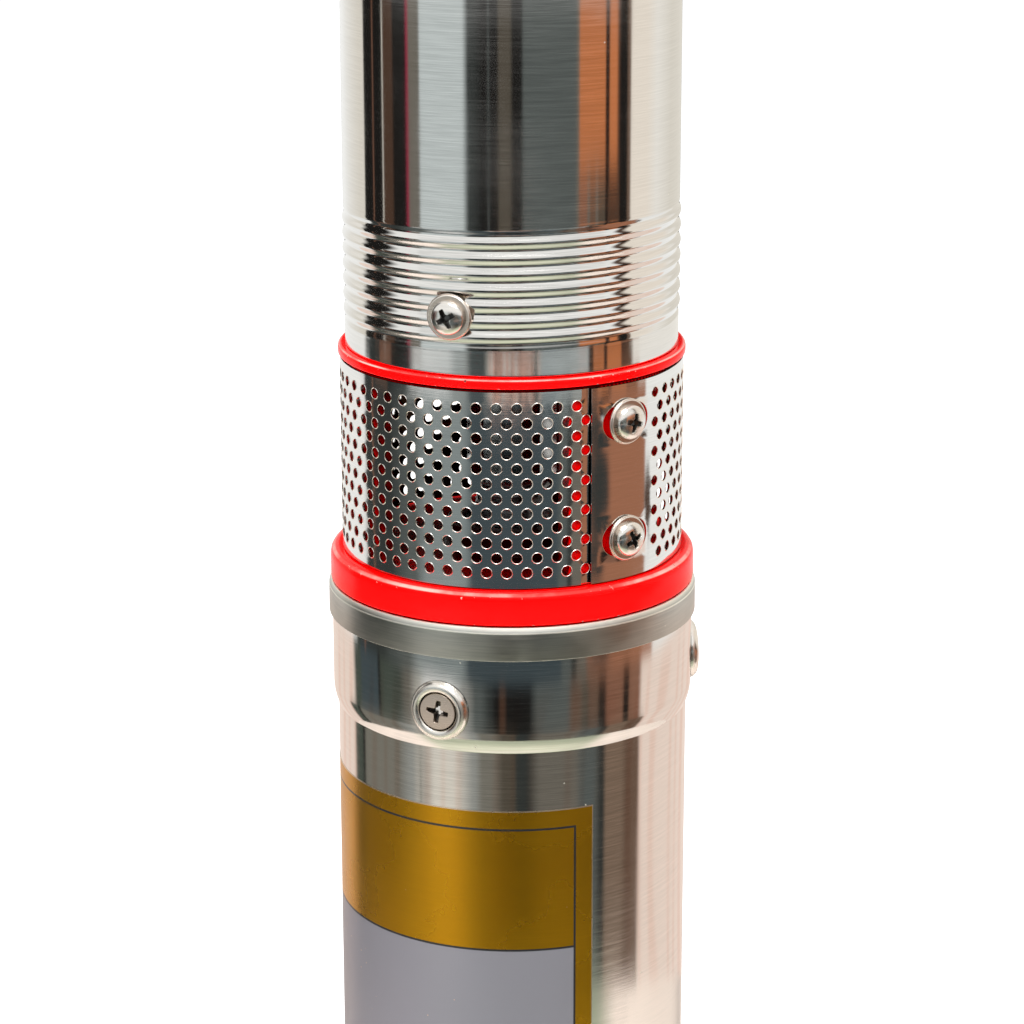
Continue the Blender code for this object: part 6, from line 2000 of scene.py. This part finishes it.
@dataclass
class Studio:
    """A pale floor, soft light, upright cards that the metal mirrors, and the camera.

    Its sizes are metres, apart from the floor's, the lens's and the sensor's millimetres.
    """

    camera_distance: float = 0.8395
    camera_height: float = 0.5633
    tilt: float = 0.2805
    roll: float = 0.0019
    lens: float = 113.85
    sensor: float = 36.0
    card_radius: float = 0.42
    card_top: float = 0.8
    card_step: float = 0.004
    card_columns: int = 720
    lamp_aim: float = 0.35
    floor_level: float = -0.2
    floor_rings: tuple[float, ...] = (12000.0, 1000.0, 200.0, 0.0)
    floor_segments: int = 48
    floor_glow: float = 0.6
    floor_tone: Rgb = (0.9, 0.9, 0.9)
    near_tone: Rgb = (0.7, 0.62, 0.54)
    front_tone: Rgb = (0.5, 0.5, 0.39)
    far_tone: Rgb = (0.28, 0.3, 0.22)
    side_tone: Rgb = (0.72, 0.62, 0.55)
    near_reach: tuple[float, float] = (0.12, 0.2)
    far_reach: tuple[float, float] = (0.2, 0.34)
    front_sector: tuple[float, float] = (-0.6, -0.3)
    sky_tone: Rgb = (1.0, 0.97, 0.92)

    def camera(self) -> None:
        """The photograph's view: in front of the pump, looking down by the tilt."""
        data = bpy.data.cameras.new("camera")
        data.lens = self.lens
        data.sensor_width = self.sensor
        data.clip_start = 0.05
        camera = shown("camera", data)
        look = Matrix.Rotation(math.pi / 2 - self.tilt, 4, "X") @ Matrix.Rotation(-self.roll, 4, "Z")
        camera.matrix_world = Matrix.Translation((0.0, -self.camera_distance, self.camera_height)) @ look
        bpy.context.scene.camera = camera

    def world(self) -> None:
        """An even pale sky, white where the camera, a mirror or glass sees it."""
        world = bpy.data.worlds.new("studio")
        world.use_nodes = True
        nodes = Nodes(world.node_tree)
        path = nodes.add("LightPath")
        mirrored = path.outputs["Is Glossy Ray"]
        seen = nodes.math("MAXIMUM", path.outputs["Is Camera Ray"], mirrored)
        seen = nodes.math("MAXIMUM", seen, path.outputs["Is Transmission Ray"])
        strength = nodes.math("MULTIPLY_ADD", seen, 0.5, 0.5)
        tone = nodes.mix(mirrored, (1.0, 1.0, 1.0), self.sky_tone)
        nodes.fill(world.node_tree.nodes["Background"], Color=tone, Strength=strength)
        bpy.context.scene.world = world

    def floor_mirrored(self, nodes: Nodes) -> bpy.types.NodeSocket:
        """The floor's tone in mirrors: by its distance from the pump in front, and even elsewhere.

        Args:
            nodes: The floor's nodes.

        Returns:
            The tone.
        """
        place = nodes.add("SeparateXYZ", Vector=nodes.place()).outputs
        squares = (nodes.math("POWER", place[axis], 2.0) for axis in ("X", "Y"))
        reach = nodes.math("SQRT", nodes.math("ADD", *squares))
        tone = nodes.mix(nodes.ramp(reach, *self.near_reach), self.near_tone, self.front_tone)
        tone = nodes.mix(nodes.ramp(reach, *self.far_reach), tone, self.far_tone)
        forward = nodes.math("DIVIDE", place["Y"], nodes.math("MAXIMUM", reach, 0.001))
        return nodes.mix(nodes.ramp(forward, *self.front_sector), tone, self.side_tone)

    def floor(self) -> None:
        """A wide pale floor, white to the camera where nothing shades it."""
        line = np.array([(reach, self.floor_level) for reach in self.floor_rings])
        mesh = make_mesh("floor", turned_open(line, self.floor_segments))
        material, nodes, shader = blank_material("floor")
        path = nodes.add("LightPath").outputs
        tone = nodes.mix(path["Is Glossy Ray"], self.floor_tone, self.floor_mirrored(nodes))
        glow = nodes.times(path["Is Camera Ray"], self.floor_glow)
        nodes.fill(shader, Base_Color=tone, Roughness=1.0, Specular_IOR_Level=0.0)
        nodes.fill(shader, Emission_Color=(1.0, 1.0, 1.0), Emission_Strength=glow)
        mesh.materials.append(material)
        shown("floor", mesh)

    def card_tones(self, bearing: Grid, height: Grid) -> Grid:
        """The tone at each bearing and height: flats blended along their gaps, and tiers likewise.

        Blots lie over them, and veins darken the low tiers, where the sine of 0.42 bearing + 1.6 sin(height /
        47) + 2 sin(bearing / 7) is high.

        Args:
            bearing: Degrees round the pump.
            height: Millimetres above the floor.

        Returns:
            An array of bearings by heights by colour.
        """
        layers = []
        for _, _, tier in TIERS:
            flats = [BACK_LEFT, *tier, BACK_RIGHT]
            edges = np.array([edge for start, end, _ in flats for edge in (start, end)])
            tones = np.array([card.value for *_, card in flats for _ in range(2)])
            layers.append(np.stack([np.interp(bearing, edges, tones[:, k]) for k in range(3)], axis=1))
        levels = np.array([level for low, high, _ in TIERS for level in (low, high)])
        place = np.interp(height, levels, np.repeat(np.arange(len(TIERS)), 2))
        low = np.minimum(place.astype(int), len(TIERS) - 2)
        stack, part = np.stack(layers), (place - low)[None, :, None]
        tones = stack[low].transpose(1, 0, 2) * (1 - part) + stack[low + 1].transpose(1, 0, 2) * part
        turn, rise = bearing[:, None], height[None, :]
        for middle, level, wide, tall, card in BLOTS:
            far = np.hypot((turn - middle) / wide, (rise - level) / tall)
            cover = 1 - smooth_step(far, *BLOT_EDGE)[..., None]
            tones = tones * (1 - cover) + np.array(card.value) * cover
        vein = np.sin(0.42 * turn + 1.6 * np.sin(rise / 47) + 2 * np.sin(turn / 7))
        vein = smooth_step(vein, *VEIN_EDGE) * (1 - smooth_step(rise, *VEIN_LEVELS))
        return tones * (1 - vein[..., None] * VEIN_TONE)

    def card_material(self) -> bpy.types.Material:
        """Glowing card in the mesh's tones, with crumpled foil tones where the mesh says so.

        Returns:
            The material.
        """
        material = bpy.data.materials.new("cards")
        material.use_nodes = True
        material.cycles.emission_sampling = "NONE"
        material.node_tree.nodes.clear()
        nodes = Nodes(material.node_tree)
        folds = nodes.noise(FOLD_SCALE, 3.0, Distortion=FOLD_TWIST)
        peach, white, dark = FOLD_TONES
        folded = nodes.mix(nodes.ramp(folds, *FOLD_LIGHT), peach, white)
        folded = nodes.mix(nodes.ramp(folds, *FOLD_DARK), dark, folded)
        tone = nodes.mix(nodes.read("rumple"), nodes.read("tone", "Color"), folded)
        glow = nodes.add("Emission", Color=tone, Strength=1.0).outputs[0]
        nodes.fill(nodes.add("OutputMaterial"), Surface=glow)
        return material

    def cards(self) -> None:
        """A ring of upright cards, as flags stand round shiny goods. Only mirrors see it."""
        bearing = np.degrees(full_turn(self.card_columns)) - 180.0
        step = self.card_step / MM
        height = np.arange(0.0, self.card_top / MM + step, step)
        tones = self.card_tones(bearing, height).reshape(-1, 3)
        turn, rise = np.meshgrid(np.radians(bearing), height, indexing="ij")
        spots = around(self.card_radius / MM, turn, rise).reshape(-1, 3)
        quads = grid_faces(self.card_columns, len(height), True)
        mesh = make_mesh("cards", Surface(spots, (quads,)).reversed())
        opaque = np.column_stack([tones, np.ones(len(tones))]).astype(np.float32).ravel()
        mesh.attributes.new("tone", "FLOAT_COLOR", "POINT").data.foreach_set("color", opaque)
        rumple = within_range(rise, *FOLD_LEVELS) * within_range(np.degrees(turn), *FOLD_BEARINGS)
        paint_points(mesh, "rumple", rumple)
        mesh.materials.append(self.card_material())
        cards = shown("cards", mesh)
        for kind in ("camera", "diffuse", "shadow", "transmission", "volume_scatter"):
            setattr(cards, f"visible_{kind}", False)

    def lamp(
        self, name: str, place: tuple[float, float, float], size: float, power: float
    ) -> bpy.types.Object:
        """A soft square lamp that looks at the strainer, and that mirrors don't show.

        Args:
            name: Its name.
            place: Its bearing in degrees, its height and its distance from the axis.
            size: Its side.
            power: Watts.

        Returns:
            The lamp.
        """
        data = bpy.data.lights.new(name, "AREA")
        data.size = size
        data.energy = power
        lamp = shown(name, data)
        bearing, height, distance = place
        spot = Vector(around(distance, np.radians(bearing), height))
        turn = (spot - Vector((0.0, 0.0, self.lamp_aim))).to_track_quat("Z", "Y")
        lamp.matrix_world = Matrix.Translation(spot) @ turn.to_matrix().to_4x4()
        lamp.visible_camera = lamp.visible_glossy = False
        return lamp

    def build(self) -> None:
        """Sets the stage. Mirrors show the glint, which gives the thread its bright lines."""
        self.camera()
        self.world()
        self.floor()
        self.cards()
        self.lamp("key", (-28.0, 1.0, 1.1), 0.35, 24.0)
        self.lamp("glint", (4.0, 0.95, 0.5), 0.5, 4.0).visible_glossy = True
        self.lamp("fill", (60.0, 0.8, 1.4), 0.8, 9.0)
        self.lamp("rear", (180.0, 1.3, 1.5), 1.2, 9.0)
        bpy.context.scene.view_settings.view_transform = "Standard"


def dress_solids(frame: dict, palette: Palette) -> None:
    """Gives every CAD solid the finish of its slot in the record.

    Args:
        palette: The built finishes.
    """
    for part in frame["record"]["subparts"]:
        solid = frame["nodes"].get(part["node"])
        if solid is None:
            continue
        solid.data.materials.clear()
        solid.data.materials.append(palette[SLOT_FINISH[part["material_slot"]]])
        LOG.info("%s wears %s", part["node"], part["material_slot"])


def main() -> None:
    """Loads the solids, dresses them, and adds the finer pieces and the studio."""
    logging.basicConfig(level=logging.INFO, format="%(message)s")
    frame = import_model()
    palette = Palette()
    dress_solids(frame, palette)
    for assembly in (MotorSection, SuctionBracket, Strainer, Barrel, DischargeHead, Fasteners):
        assembly(palette).build()
    Studio().build()


if __name__ == "__main__":
    main()
